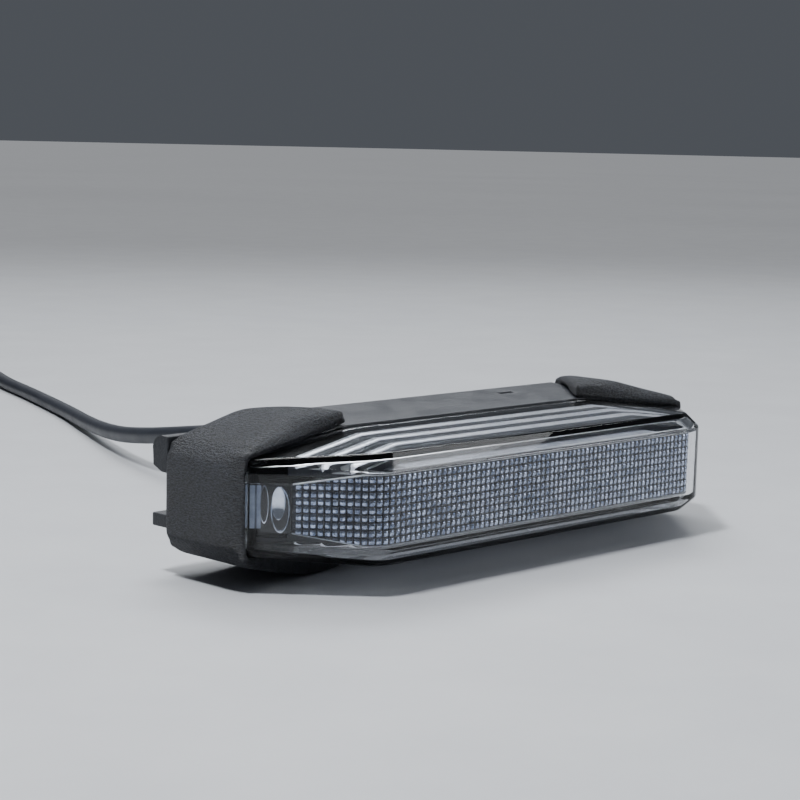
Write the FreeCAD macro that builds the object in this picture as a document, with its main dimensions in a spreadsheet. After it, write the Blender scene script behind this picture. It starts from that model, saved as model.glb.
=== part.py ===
import FreeCAD, Part
import math
import os
import re
import Sketcher

# A wired rear safety light for a bicycle rack: a long bar with a clear faceted lens in front, two
# grained end caps that clamp the lens with raised ears, and a bracket with two rails behind.
# Each piece is drawn in the bar's own frame: X along the bar, Y back from the lens face, Z up from
# the middle plane. The placement then stands it on the ground with the origin under its middle.

# name, value in mm, what it is
SIZES = [
    ("overall_length", 144.0, "end face to end face"),
    ("overall_height", 34.0, "ground to the top of the ears"),
    ("case_depth", 43.2, "lens face to the back of the case"),
    ("tab_reach", 5.0, "back of the case to the back of the lower tab"),
    ("clearance", 0.15, "gap round a piece that slides into another"),
    ("facet_run", 19.0, "lens, end facets, along the bar"),
    ("face_height", 16.6, "lens, front face, height"),
    ("bevel_run", 2.9, "lens, front bevel, depth"),
    ("bevel_height", 22.8, "lens, height behind the front bevel"),
    ("bevel_inset", 1.7, "lens, end of the front bevel, in from the face's end"),
    ("rim_margin", 1.7, "lens, rims of its end facets, in from the end faces"),
    ("rim_depth", 20.0, "lens, face to the rims"),
    ("rim_height", 14.6, "lens, rim, straight height"),
    ("rim_inset", 2.0, "lens, rim bevel, in from the rim"),
    ("rim_full_height", 19.6, "lens, rim, height over its bevels"),
    ("seat_depth", 25.9, "lens face to the joint with the case"),
    ("seat_height", 26.6, "lens height at the joint"),
    ("strip_length", 74.2, "bare strip between the ears"),
    ("skirt_margin", 3.0, "lens and case inside the caps, in from the end faces"),
    ("skirt_end_height", 20.0, "case, height at its ends inside the caps"),
    ("lens_wall", 2.0, "wall of the lens"),
    ("tongue_wall", 1.0, "tongue behind the lens"),
    ("tongue_length", 1.8, "tongue, behind the joint"),
    ("groove_depth", 2.6, "groove in the case"),
    ("case_wall", 3.0, "sides of the case"),
    ("back_wall", 2.4, "back of the case, and of each cap"),
    ("end_face_height", 16.8, "end cap, flat end face, height"),
    ("shoulder_height", 24.0, "end cap, height over its end bevels"),
    ("shoulder_run", 3.0, "end cap, end bevel, along the bar"),
    ("ear_start", 50.0, "end cap, where the slope meets the ear's flat top, from the middle"),
    ("ear_round", 30.0, "end cap, round between slope and ear top, radius"),
    ("ear_slant", 11.2, "ear, back corner of its inner end, out from the front corner"),
    ("ear_front_height", 33.0, "ear, height behind its front bevel"),
    ("brow_depth", 25.4, "ear, lens face to the back of its front bevel"),
    ("ear_back_height", 31.8, "ear, height at its back edge"),
    ("ear_crown", 0.9, "ear, rise of its crown between front and back edge"),
    ("nose_height", 28.2, "ear, height at the foot of its front bevel"),
    ("nose_depth", 23.4, "ear, lens face to the foot of its front bevel"),
    ("cap_front", 21.4, "end cap, lens face to the front edge of the end face"),
    ("cap_edge", 0.4, "end cap, broken edges"),
    ("slot_place", 26.0, "drain slot in the strip, from the middle"),
    ("slot_depth", 38.0, "drain slot, lens face to its middle"),
    ("slot_length", 5.0, "drain slot, along the bar"),
    ("slot_width", 1.4, "drain slot, width"),
    ("plate_margin", 15.0, "bracket plate between the rails, in from the end faces"),
    ("plate_thickness", 2.2, "bracket plate"),
    ("rail_margin", 1.2, "bracket rails, in from the end faces"),
    ("rail_top", 11.8, "upper rail, top above the middle plane"),
    ("rail_bottom", 5.4, "upper rail, underside at its back"),
    ("rail_foot", 4.2, "upper rail, underside where it meets the plate"),
    ("rail_reach", 4.9, "upper rail, behind the case"),
    ("rail_round", 3.0, "upper rail, rounded top edge, radius"),
    ("tab_fillet", 1.2, "lower tab, fillet above it, radius"),
    ("tab_top", -4.4, "lower tab, top"),
    ("tab_bottom", -7.2, "lower tab, underside"),
    ("mount_spacing", 80.0, "between the two mounting screws"),
    ("insert_bore", 4.2, "threaded insert, bore for a screw of 5 mm"),
    ("insert_width", 7.0, "threaded insert, diameter"),
    ("boss_width", 11.0, "boss round each insert"),
    ("cord_width", 4.5, "cord, diameter"),
    ("gland_width", 8.0, "hole for the gland in the case"),
    ("gland_flange", 11.0, "gland, flanges, diameter"),
    ("gland_flange_wall", 1.4, "gland, flanges, thickness"),
    ("boot_length", 20.0, "strain relief behind the gland"),
    ("boot_tip", 6.0, "strain relief, diameter at its tip"),
    ("boot_cut", 0.5, "strain relief, depth between its rings"),
    ("screw_spacing", 58.0, "bracket screws, between their middles"),
    ("cap_screw_inset", 10.0, "cap screws, in from the end face"),
    ("optic_gap", 0.3, "between lens and grid optic"),
    ("optic_wall", 1.7, "grid optic, thickness"),
    ("optic_height", 14.3, "grid optic, height on the face"),
    ("optic_end_height", 9.8, "grid optic, height at its ends"),
    ("optic_margin", 3.0, "grid optic, plain stretch before the first flute"),
    ("optic_reach", 0.66, "grid optic, share of the end facet that it covers"),
    ("flute_pitch", 1.45, "grid optic, flutes along the bar"),
    ("row_pitch", 1.5, "grid optic, rows"),
    ("flute_cut", 0.35, "grid optic, depth between flutes"),
    ("guide_length", 76.0, "light guides, along the bar"),
    ("guide_front", 9.0, "light guides, lens face to their front"),
    ("guide_rib", 5.0, "light guides, width of one rib"),
    ("guide_base", 1.4, "light guides, web under the ribs"),
    ("guide_rise", 1.1, "light guides, ribs above the web"),
    ("reflector_length", 81.0, "reflector, along the bar"),
    ("reflector_height", 13.8, "reflector, height"),
    ("reflector_wall", 1.0, "reflector, between its cups"),
    ("cup_pitch", 10.0, "reflector cups and lamp chips, along the bar"),
    ("cup_count", 8, "reflector cups and lamp chips"),
    ("cup_floor", 4.2, "reflector, opening round each lamp chip"),
    ("side_start", 0.675, "side reflector, share of the end facet where it starts"),
    ("side_stop", 0.9, "side reflector, share of the end facet where it ends"),
    ("side_height", 9.8, "side reflector, height"),
    ("side_wall", 4.0, "side reflector, thickness"),
    ("side_floor", 1.5, "side reflector, floor of its cups"),
    ("cup_width", 2.6, "side reflector, wide cup"),
    ("cup_height", 7.4, "side reflector, wide cup, height"),
    ("narrow_cup_width", 1.6, "side reflector, narrow cup"),
    ("narrow_cup_height", 5.2, "side reflector, narrow cup, height"),
    ("chip_width", 3.0, "lamp chips, width"),
    ("chip_height", 1.4, "lamp chips, height"),
    ("board_front", 22.9, "lens face to the lamp board"),
    ("board_wall", 1.6, "circuit boards, thickness"),
    ("board_length", 94.0, "lamp board, along the bar"),
    ("board_height", 13.6, "lamp board, height"),
    ("pad_wall", 0.5, "thermal pad, thickness"),
    ("spreader_wall", 1.5, "heat spreader, thickness"),
    ("spreader_lip", 3.0, "heat spreader, folded edges"),
    ("post_spacing", 86.0, "posts of the lamp board, along the bar"),
    ("post_height", 7.0, "posts of the lamp board, across the bar"),
    ("post_width", 4.8, "posts in the case, diameter"),
    ("screw_width", 2.0, "small screws, thread diameter"),
    ("screw_head", 3.6, "small screws, head diameter"),
    ("screw_head_height", 1.3, "small screws, head height"),
    ("board_screw_length", 6.0, "screws of the boards, under the head"),
    ("driver_length", 56.0, "driver board, along the bar"),
    ("driver_height", 14.0, "driver board, height"),
    ("driver_back", 5.0, "driver board, off the back wall"),
    ("driver_spacing", 46.0, "driver board, between its posts"),
    ("choke_width", 7.2, "driver board, choke, diameter"),
    ("choke_height", 5.0, "driver board, choke, height"),
    ("can_width", 5.0, "driver board, capacitors, diameter"),
    ("can_height", 3.2, "driver board, capacitors, height"),
    ("can_spacing", 5.4, "driver board, between its capacitors"),
    ("regulator_length", 4.8, "driver board, chips, along the bar"),
    ("regulator_width", 3.9, "driver board, chips, width"),
    ("regulator_height", 1.5, "driver board, chips, height"),
    ("terminal_width", 6.0, "lead terminal, width"),
    ("terminal_height", 3.2, "lead terminal, off the driver board"),
    ("terminal_place", 7.0, "lead terminal, near side, from the middle"),
    ("lead_width", 1.4, "inner leads, diameter"),
    ("lead_inset", 8.0, "leads to the lamp board, in from the driver board's end"),
    ("vent_width", 6.0, "vent plug, diameter"),
    ("vent_wall", 1.0, "vent plug, thickness"),
    ("vent_place", 12.0, "vent plug, from the middle"),
    ("coil_pitch", 5.0, "between turns, beside and on each other"),
    ("coil_radius", 30.0, "outermost ground turn, to the middle of the cord"),
    ("coil_turns", 2, "whole turns before the cord climbs to the second layer"),
    ("plug_width", 8.0, "connector, diameter"),
    ("plug_length", 22.0, "connector, length"),
    ("pin_width", 1.6, "connector pins, diameter"),
    ("pin_reach", 4.0, "connector pins, out of the connector"),
    ("pin_spacing", 3.0, "connector, between its pins"),
    ("tie_width", 5.0, "tie round the coil, width"),
    ("tie_wall", 0.8, "tie round the coil, thickness"),
]
NAMES = [name for name, size, note in SIZES]

# Sizes that follow from others
DERIVED = {
    "rim_length": "(overall_length - 2 * rim_margin)",
    "face_length": "(overall_length - 2 * rim_margin - 2 * facet_run)",
    "skirt_length": "(overall_length - 2 * skirt_margin)",
    "rail_length": "(overall_length - 2 * rail_margin)",
    "plate_length": "(overall_length - 2 * plate_margin)",
}

doc = FreeCAD.newDocument("bar_light")
sheet = doc.addObject("Spreadsheet::Sheet", "Sizes")
for row, (name, size, note) in enumerate(SIZES, start=1):
    sheet.set("A%d" % row, str(size))
    sheet.setAlias("A%d" % row, name)
    sheet.set("B%d" % row, note)
doc.recompute()

V = FreeCAD.Vector


def spelled_out(text):
    """An expression with its derived sizes replaced by what they stand for."""
    return re.sub(r"[a-z_]+", lambda word: DERIVED.get(word.group(), word.group()), text)


def number(text):
    """The value of an expression over the sheet's names."""
    return float(sheet.evalExpression(spelled_out(text)))


def bound(text):
    """The same expression, as another object of the document needs it."""
    return re.sub(r"[a-z_]+", lambda word: "Sizes." + word.group() if word.group() in NAMES else word.group(),
                  spelled_out(text))


# Places that several pieces share, as expressions over the sheet
DEPTH = "(case_depth + tab_reach)"
BOARD_BACK = "(board_front + board_wall)"
SPREADER_FRONT = "(board_front + board_wall + pad_wall)"
SPREADER_BACK = "(board_front + board_wall + pad_wall + spreader_wall)"
FLOOR = "(case_depth - back_wall)"
END_FLOOR = "(case_depth - 2 * back_wall)"
DRIVER_REAR = "(case_depth - back_wall - driver_back)"
DRIVER_FRONT = "(case_depth - back_wall - driver_back - board_wall)"
WEB_MIDDLE = "((rail_bottom + tab_top) / 2)"
CAP_SCREWS = ("(overall_length / 2 - cap_screw_inset)", "-(overall_length / 2 - cap_screw_inset)")
BRACKET_SCREWS = ("screw_spacing / 2", "-screw_spacing / 2")
BOARD_SCREWS = [(x, z) for x in ("post_spacing / 2", "-post_spacing / 2")
                for z in ("post_height / 2", "-post_height / 2")]
DRIVER_SCREWS = ("driver_spacing / 2", "-driver_spacing / 2")
OPTIC_FRONT = "(lens_wall + optic_gap)"
OPTIC_BACK = "(lens_wall + optic_gap + optic_wall)"
REFLECTOR_FRONT = "(lens_wall + optic_gap + optic_wall + clearance)"
TOP_SLOPE = "((seat_height - bevel_height) / 2 / (seat_depth - bevel_run))"
FACET_LENGTH = "sqrt(facet_run ^ 2 + rim_depth ^ 2)"
CROWN = "((((case_depth - brow_depth) / 2) ^ 2 + ear_crown ^ 2) / 2 / ear_crown)"
LEAD_HOLE = ("(driver_length / 2 - lead_inset)", "0")
BOOT_START = "(case_depth + gland_flange_wall)"


# Working with bodies and sketches

def stand(thing, rise="0"):
    """Binds the placement that every piece of the bar shares. rise lifts it off the middle plane."""
    thing.setExpression("Placement.Base.y", bound("-%s / 2" % DEPTH))
    thing.setExpression("Placement.Base.z", bound("overall_height / 2 + %s" % rise))


def new_body(name, rise="0"):
    body = doc.addObject("PartDesign::Body", name)
    body.Label = name
    stand(body, rise)
    return body


def origin_part(body, role):
    return [part for part in body.Origin.OriginFeatures if part.Role == role][0]


def new_sketch(body, role, name, lift="0"):
    """A sketch on one of the body's own planes, lifted along the plane's normal."""
    sketch = body.newObject("Sketcher::SketchObject", name)
    sketch.AttachmentSupport = [(origin_part(body, role), "")]
    sketch.MapMode = "FlatFace"
    sketch.setExpression("AttachmentOffset.Base.z", bound(lift))
    return sketch


def hold(sketch, edge, end, x, y):
    """Ties one point of a sketch to two expressions."""
    for kind, text, axis in (("DistanceX", x, -2), ("DistanceY", y, -1)):
        place = number(text)
        if abs(place) < 1e-9:
            sketch.addConstraint(Sketcher.Constraint("PointOnObject", edge, end, axis))
        else:
            index = sketch.addConstraint(Sketcher.Constraint(kind, -1, 1, edge, end, place))
            sketch.setExpression("Constraints[%d]" % index, bound(text))


def outline(sketch, corners):
    """A closed loop through corners (x, y) or (x, y, radius). A radius makes the edge that leaves
    the corner an arc, which bulges to the right of its way, or to the left where it is negative."""
    first = sketch.GeometryCount
    count = len(corners)
    spots = [V(number(corner[0]), number(corner[1]), 0) for corner in corners]
    ends = []
    for index, corner in enumerate(corners):
        here, there = spots[index], spots[(index + 1) % count]
        if len(corner) == 2:
            sketch.addGeometry(Part.LineSegment(here, there), False)
            ends.append((1, 2))
            continue
        radius = number(corner[2])
        chord = there - here
        left = V(-chord.y, chord.x, 0).normalize()
        side = math.copysign(1, radius)
        rise = abs(radius) - math.sqrt(radius ** 2 - (chord.Length / 2) ** 2)
        top = (here + there) * 0.5 - left * side * rise
        if side > 0:
            sketch.addGeometry(Part.Arc(here, top, there), False)
            ends.append((1, 2))
        else:
            sketch.addGeometry(Part.Arc(there, top, here), False)
            ends.append((2, 1))
    for index in range(count):
        after = (index + 1) % count
        sketch.addConstraint(Sketcher.Constraint("Coincident", first + index, ends[index][1],
                                                 first + after, ends[after][0]))
    for index, corner in enumerate(corners):
        hold(sketch, first + index, ends[index][0], corner[0], corner[1])
        if len(corner) == 3:
            row = sketch.addConstraint(Sketcher.Constraint("Radius", first + index, abs(number(corner[2]))))
            sketch.setExpression("Constraints[%d]" % row, bound("abs(%s)" % corner[2]))


def circle(sketch, x, y, width):
    index = sketch.addGeometry(Part.Circle(V(number(x), number(y), 0), V(0, 0, 1), number(width) / 2), False)
    hold(sketch, index, 3, x, y)
    row = sketch.addConstraint(Sketcher.Constraint("Diameter", index, number(width)))
    sketch.setExpression("Constraints[%d]" % row, bound(width))


def box_loop(x, y, width, height):
    """Corners of a rectangle about a middle."""
    return [("%s - (%s) / 2" % (x, width), "%s - (%s) / 2" % (y, height)),
            ("%s + (%s) / 2" % (x, width), "%s - (%s) / 2" % (y, height)),
            ("%s + (%s) / 2" % (x, width), "%s + (%s) / 2" % (y, height)),
            ("%s - (%s) / 2" % (x, width), "%s + (%s) / 2" % (y, height))]


def pad(body, sketch, length, back=False, middle=False):
    """Adds material. back turns it against the sketch's normal."""
    feature = body.newObject("PartDesign::Pad", sketch.Name + "_pad")
    feature.Profile = sketch
    feature.setExpression("Length", bound(length))
    feature.Reversed = back
    feature.Midplane = middle
    doc.recompute()
    return feature


def pocket(body, sketch, length, back=False, middle=False):
    """Takes material away, and makes sure that it did."""
    before = body.Shape.Volume
    feature = body.newObject("PartDesign::Pocket", sketch.Name + "_pocket")
    feature.Profile = sketch
    feature.setExpression("Length", bound(length))
    feature.Reversed = back
    feature.Midplane = middle
    doc.recompute()
    if body.Shape.Volume > before - 1e-3:
        raise ValueError("%s took nothing away" % feature.Name)
    return feature


def repeat(body, features, axis, step, count):
    """Copies features along one of the body's axes."""
    pattern = body.newObject("PartDesign::LinearPattern", features[0].Name + "_row")
    pattern.Originals = features
    pattern.Direction = (origin_part(body, axis), [""])
    pattern.setExpression("Length", bound("(%s) * (%s)" % (step, "%s - 1" % count)))
    pattern.setExpression("Occurrences", bound(str(count)))
    body.Tip = pattern
    doc.recompute()
    return pattern


def mirror(body, features, role):
    copy = body.newObject("PartDesign::Mirrored", features[0].Name + "_mirror")
    copy.Originals = features
    copy.MirrorPlane = (origin_part(body, role), [""])
    body.Tip = copy
    doc.recompute()
    return copy


def revolve(body, sketch, axis):
    feature = body.newObject("PartDesign::Revolution", sketch.Name + "_turn")
    feature.Profile = sketch
    feature.ReferenceAxis = (origin_part(body, axis), [""])
    feature.Angle = 360
    doc.recompute()
    return feature


def break_edges(body, size, wanted, name):
    """Chamfers the edges of the body that the test picks."""
    base = body.Tip
    picked = ["Edge%d" % (index + 1) for index, edge in enumerate(base.Shape.Edges) if wanted(edge)]
    feature = body.newObject("PartDesign::Chamfer", name)
    feature.Base = (base, picked)
    feature.setExpression("Size", bound(size))
    body.Tip = feature
    doc.recompute()
    return feature


def fixed_shape(name, shape):
    """A piece whose shape is set by functions, in the bar's frame."""
    thing = doc.addObject("Part::Feature", name)
    thing.Label = name
    thing.Shape = shape
    stand(thing)
    doc.recompute()
    return thing


def boolean(kind, name, base, tool):
    thing = doc.addObject(kind, name)
    thing.Label = name
    thing.Base = base
    thing.Tool = tool
    doc.recompute()
    return thing


def mirrored_piece(name, source):
    """The same piece on the other end of the bar."""
    thing = doc.addObject("Part::Mirroring", name)
    thing.Label = name
    thing.Source = source
    thing.Normal = (1, 0, 0)
    doc.recompute()
    return thing


# The faceted form of the lens

def slice_off(shape, spot, outward):
    """Cuts away what lies outside the plane through a spot."""
    reach = 4 * number("overall_length")
    block = Part.makeBox(reach, reach, reach, V(-reach / 2, -reach / 2, 0))
    block.Placement = FreeCAD.Placement(spot, FreeCAD.Rotation(V(0, 0, 1), outward))
    return shape.cut(block)


def normal_of(first, second, third):
    """Unit normal of a facet, pointing away from the middle of the bar."""
    across = (second - first).cross(third - first).normalize()
    inside = V(0, number("seat_depth"), 0)
    return across if across.dot(first - inside) > 0 else across * -1


def facet_block(grow, start, stop):
    """The lens's outside as a solid, its facets moved out by grow, from one depth to another."""
    face = V(number("face_length") / 2, 0, number("face_height") / 2)
    brow = V(face.x - number("bevel_inset"), number("bevel_run"), number("bevel_height") / 2)
    rim = V(number("rim_length") / 2, number("rim_depth"), number("rim_height") / 2)
    cheek = V(rim.x - number("rim_inset"), rim.y, number("rim_full_height") / 2)
    seat = V(number("strip_length") / 2, number("seat_depth"), number("seat_height") / 2)
    across = V(1, 0, 0)
    facets = [(face, normal_of(face, brow, brow + across)), (brow, normal_of(brow, seat, seat + across)),
              (face, normal_of(face, rim, rim + V(0, 0, 1))), (face, normal_of(face, rim, cheek)),
              (face, normal_of(face, brow, cheek)), (brow, normal_of(brow, cheek, seat))]
    reach = number("overall_length")
    shape = Part.makeBox(2 * reach, stop - start, 2 * reach, V(-reach, start, -reach))
    if start < -grow:
        shape = slice_off(shape, V(0, -grow, 0), V(0, -1, 0))
    for spot, outward in facets:
        for side in (1, -1):
            for level in (1, -1):
                facing = V(outward.x * side, outward.y, outward.z * level)
                place = V(spot.x * side, spot.y, spot.z * level)
                shape = slice_off(shape, place + facing * grow, facing)
    skirt = number("skirt_length") / 2 + grow
    for side in (1, -1):
        corner = Part.makeBox(reach, 2 * reach, 2 * reach, V(0, 0, -reach))
        corner.translate(V(skirt if side > 0 else -skirt - reach, rim.y + grow, 0))
        shape = shape.cut(corner)
    return shape.removeSplitter()


def outer_lens():
    """Clear moulding, open behind, with a tongue that enters the case's groove."""
    wall, depth = number("lens_wall"), number("seat_depth")
    outside = facet_block(0, -1, depth)
    tongue = facet_block(number("tongue_wall") - wall, depth - wall, depth + number("tongue_length"))
    inside = facet_block(-wall, -1, depth + number("groove_depth") + 1)
    return fixed_shape("outer_lens", outside.fuse(tongue).cut(inside).removeSplitter())


def ring(out, into, start, stop):
    """A band that follows the joint, between two insets from the outside."""
    return facet_block(-out, start, stop).cut(facet_block(-into, start - 1, stop + 1))


def lens_gasket():
    """Soft cord at the bottom of the groove, under the tongue."""
    depth = number("seat_depth")
    slack = number("clearance") / 2
    out = number("lens_wall - tongue_wall") - slack
    band = ring(out, number("lens_wall") + slack, depth + number("tongue_length"),
                depth + number("groove_depth"))
    return fixed_shape("lens_gasket", band)


# The case

def case_outside(name, grow):
    """The case's outside. The caps use it again, a little larger, as the space that they close over."""
    body = new_body(name)
    flat = "(strip_length / 2 + ear_slant + %s)" % grow
    end = "(skirt_length / 2 + %s)" % grow
    high = "overall_height"
    low = "(seat_height / 2 + %s)" % grow
    tip = "(skirt_end_height / 2 + %s)" % grow
    quarter = [(flat, high), (flat, low), (end, tip)]
    corners = [(x, z) for x, z in quarter] + [(x, "-" + z) for x, z in reversed(quarter)]
    corners += [("-" + x, "-" + z) for x, z in quarter] + [("-" + x, z) for x, z in reversed(quarter)]
    section = new_sketch(body, "XZ_Plane", name + "_section", "-(seat_depth - %s)" % grow)
    outline(section, corners)
    pad(body, section, "case_depth - seat_depth + 2 * %s" % grow, back=True)
    rear = "(seat_height / 2 + %s + (case_depth + back_wall - seat_depth) * %s)" % (grow, TOP_SLOPE)
    front = "(seat_height / 2 + %s)" % grow
    above = new_sketch(body, "YZ_Plane", name + "_slope")
    outline(above, [("seat_depth", front), ("case_depth + back_wall", rear), ("case_depth + back_wall", "2 * " + high),
                    ("rim_depth", "2 * " + high), ("rim_depth", front)])
    top = pocket(body, above, "overall_length", middle=True)
    mirror(body, [top], "XY_Plane")
    return body


def rear_case():
    """Black moulding behind the lens: strip above and below, posts for the boards, gland hole."""
    body = case_outside("rear_case_body", "0")
    for side in ("-", ""):
        recess = new_sketch(body, "XZ_Plane", "cap_recess" + ("_left" if side else "_right"), "-case_depth")
        inner, outer = "%s(strip_length / 2 + ear_slant)" % side, "%soverall_length / 2" % side
        outline(recess, [(inner, "-overall_height"), (outer, "-overall_height"),
                         (outer, "overall_height"), (inner, "overall_height")])
        pocket(body, recess, "back_wall", back=True)
    hollow = new_sketch(body, "XZ_Plane", "hollow", "-seat_depth")
    flat, end = "(strip_length / 2 - case_wall / 2)", "(skirt_length / 2 - case_wall)"
    low, tip = "(seat_height / 2 - case_wall)", "(skirt_end_height / 2 - case_wall)"
    outline(hollow, [(flat, low), (end, tip), (end, "-" + tip), (flat, "-" + low),
                     ("-" + flat, "-" + low), ("-" + end, "-" + tip), ("-" + end, tip), ("-" + flat, low)])
    pocket(body, hollow, "%s - seat_depth" % END_FLOOR)
    deep = new_sketch(body, "XZ_Plane", "deep_hollow", "-" + END_FLOOR)
    outline(deep, box_loop("0", "0", "strip_length - 2 * case_wall", "seat_height - 2 * case_wall"))
    pocket(body, deep, "back_wall")
    posts = new_sketch(body, "XZ_Plane", "posts", "-" + SPREADER_BACK)
    for x, z in BOARD_SCREWS:
        circle(posts, x, z, "post_width")
    pad(body, posts, "%s - %s" % (END_FLOOR, SPREADER_BACK), back=True)
    stubs = new_sketch(body, "XZ_Plane", "driver_posts", "-" + DRIVER_REAR)
    for x in DRIVER_SCREWS:
        circle(stubs, x, "0", "post_width")
    pad(body, stubs, "driver_back", back=True)
    bores = new_sketch(body, "XZ_Plane", "post_bores", "-" + SPREADER_BACK)
    for x, z in BOARD_SCREWS:
        circle(bores, x, z, "screw_width")
    pocket(body, bores, "board_screw_length")
    stub_bores = new_sketch(body, "XZ_Plane", "stub_bores", "-" + DRIVER_REAR)
    for x in DRIVER_SCREWS:
        circle(stub_bores, x, "0", "screw_width")
    pocket(body, stub_bores, "board_screw_length - board_wall")
    through = new_sketch(body, "XZ_Plane", "gland_hole", "-case_depth")
    circle(through, "0", WEB_MIDDLE, "gland_width")
    circle(through, "vent_place", WEB_MIDDLE, "vent_width * 0.75")
    for x in BRACKET_SCREWS:
        circle(through, x, WEB_MIDDLE, "screw_width")
    pocket(body, through, "2 * back_wall", back=True)
    cap_bores = new_sketch(body, "XZ_Plane", "cap_screw_bores", "-(case_depth - back_wall)")
    for x in CAP_SCREWS:
        circle(cap_bores, x, WEB_MIDDLE, "screw_width")
    pocket(body, cap_bores, "back_wall", back=True)
    seat = new_sketch(body, "XZ_Plane", "vent_seat", "-case_depth")
    circle(seat, "vent_place", WEB_MIDDLE, "vent_width")
    pocket(body, seat, "vent_wall", back=True)
    slot = new_sketch(body, "XY_Plane", "drain_slot", "seat_height / 2")
    outline(slot, box_loop("slot_place", "slot_depth", "slot_length", "slot_width"))
    pocket(body, slot, "slot_width", back=True)
    groove = ring(number("lens_wall - tongue_wall - clearance"), number("lens_wall + clearance"),
                  number("seat_depth") - 1, number("seat_depth + groove_depth"))
    return boolean("Part::Cut", "rear_case", body, fixed_shape("groove", groove))


# The end caps

def end_cap_left():
    """Grained moulding over one end. Its ears rise over the lens and stand on the ground."""
    body = new_body("end_cap_body")
    inner, end = "-(strip_length / 2 + clearance)", "-overall_length / 2"
    corner = "-(strip_length / 2 + ear_slant + clearance)"
    plan = new_sketch(body, "XY_Plane", "cap_plan")
    outline(plan, [(inner, "seat_depth + clearance"), (corner, "case_depth - back_wall"),
                   (corner, "case_depth"), (end, "case_depth"),
                   (end, "cap_front"), ("-(rim_length / 2 + clearance)", "rim_depth"),
                   ("-(rim_length / 2 - rim_inset)", "rim_depth - 2 * clearance")])
    pad(body, plan, "overall_height", middle=True)
    ear_tan = "((overall_height - shoulder_height) / 2 / (overall_length / 2 - shoulder_run - ear_start))"
    turn = "(ear_round * tan(atan(%s) / 2))" % ear_tan
    drop = "(%s * sin(atan(%s)))" % (turn, ear_tan)
    side_run = "(%s * cos(atan(%s)))" % (turn, ear_tan)
    high = "overall_height"
    profile = new_sketch(body, "XZ_Plane", "cap_profile")
    outline(profile, [("-overall_length", "end_face_height / 2"), (end, "end_face_height / 2"),
                      ("-(overall_length / 2 - shoulder_run)", "shoulder_height / 2"),
                      ("-(ear_start + %s)" % side_run, "overall_height / 2 - " + drop, "-ear_round"),
                      ("-(ear_start - %s)" % turn, "overall_height / 2"),
                      ("-(ear_start - %s)" % turn, high), ("-overall_length", high)])
    above = pocket(body, profile, "3 * case_depth", middle=True)
    crown = new_sketch(body, "YZ_Plane", "ear_crown")
    outline(crown, [("rim_depth", "shoulder_height / 2"), ("nose_depth", "nose_height / 2"),
                    ("brow_depth", "ear_front_height / 2", "-" + CROWN),
                    ("case_depth", "ear_back_height / 2"), ("case_depth + back_wall", "shoulder_height / 2"),
                    ("case_depth + back_wall", high), ("rim_depth", high)])
    pocket(body, crown, "3 * overall_length", middle=True)
    mirror(body, [above], "XY_Plane")
    half_length, half_height = number("overall_length / 2"), number("end_face_height / 2")
    depth = number("case_depth")

    def rear_upright(edge):
        ends = [vertex.Point for vertex in edge.Vertexes]
        return len(ends) == 2 and all(abs(p.x + half_length) < 0.01 and abs(p.y - depth) < 0.01
                                      and abs(p.z) < half_height + 0.01 for p in ends)

    break_edges(body, "cap_edge", rear_upright, "cap_back_edge")
    hole = new_sketch(body, "XZ_Plane", "cap_screw_hole", "-case_depth")
    circle(hole, CAP_SCREWS[1], WEB_MIDDLE, "screw_width + 2 * clearance")
    pocket(body, hole, "2 * back_wall", back=True)
    seat = fixed_shape("lens_seat", facet_block(number("clearance"), -1, number("seat_depth") + 1))
    room = case_outside("case_room", "clearance")
    recess = new_sketch(room, "XZ_Plane", "room_back", "-(case_depth + clearance)")
    outline(recess, box_loop("0", "0", "2 * overall_length", "2 * overall_height"))
    pocket(room, recess, "back_wall", back=True)
    without_lens = boolean("Part::Cut", "cap_without_lens", body, seat)
    return boolean("Part::Cut", "end_cap_left", without_lens, room)



# The bracket and what fastens it

def rear_bracket():
    """Moulded plate on the back with a rounded upper rail, a thin lower tab and two bosses."""
    body = new_body("rear_bracket")
    back, plate = "case_depth", "(case_depth + plate_thickness)"
    rail, tab = "(case_depth + rail_reach)", "(case_depth + tab_reach)"
    section = new_sketch(body, "YZ_Plane", "rail_section")
    outline(section, [(back, "tab_bottom"), (tab, "tab_bottom"), (tab, "tab_top"),
                      (plate + " + tab_fillet", "tab_top", "-tab_fillet"), (plate, "tab_top + tab_fillet"),
                      (plate, "rail_foot"), (rail, "rail_bottom"),
                      (rail, "rail_top - rail_round", "rail_round"), (rail + " - rail_round", "rail_top"),
                      (back, "rail_top")])
    pad(body, section, "rail_length", middle=True)
    notch = new_sketch(body, "XZ_Plane", "end_notch", "-case_depth")
    outline(notch, [("plate_length / 2", "tab_top"), ("rail_length", "tab_top"),
                    ("rail_length", "rail_foot"), ("plate_length / 2", "rail_foot")])
    end = pocket(body, notch, "2 * tab_reach")
    mirror(body, [end], "YZ_Plane")
    bosses = new_sketch(body, "XZ_Plane", "bosses", "-case_depth")
    for side in ("", "-"):
        circle(bosses, side + "mount_spacing / 2", WEB_MIDDLE, "boss_width")
    pad(body, bosses, "tab_reach", back=True)
    holes = new_sketch(body, "XZ_Plane", "bracket_holes", "-case_depth")
    for side in ("", "-"):
        circle(holes, side + "mount_spacing / 2", WEB_MIDDLE, "insert_width")
        circle(holes, side + "screw_spacing / 2", WEB_MIDDLE, "screw_width + 2 * clearance")
    circle(holes, "0", WEB_MIDDLE, "gland_flange + 4 * clearance")
    circle(holes, "vent_place", WEB_MIDDLE, "vent_width")
    pocket(body, holes, "2 * tab_reach")
    return body


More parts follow.
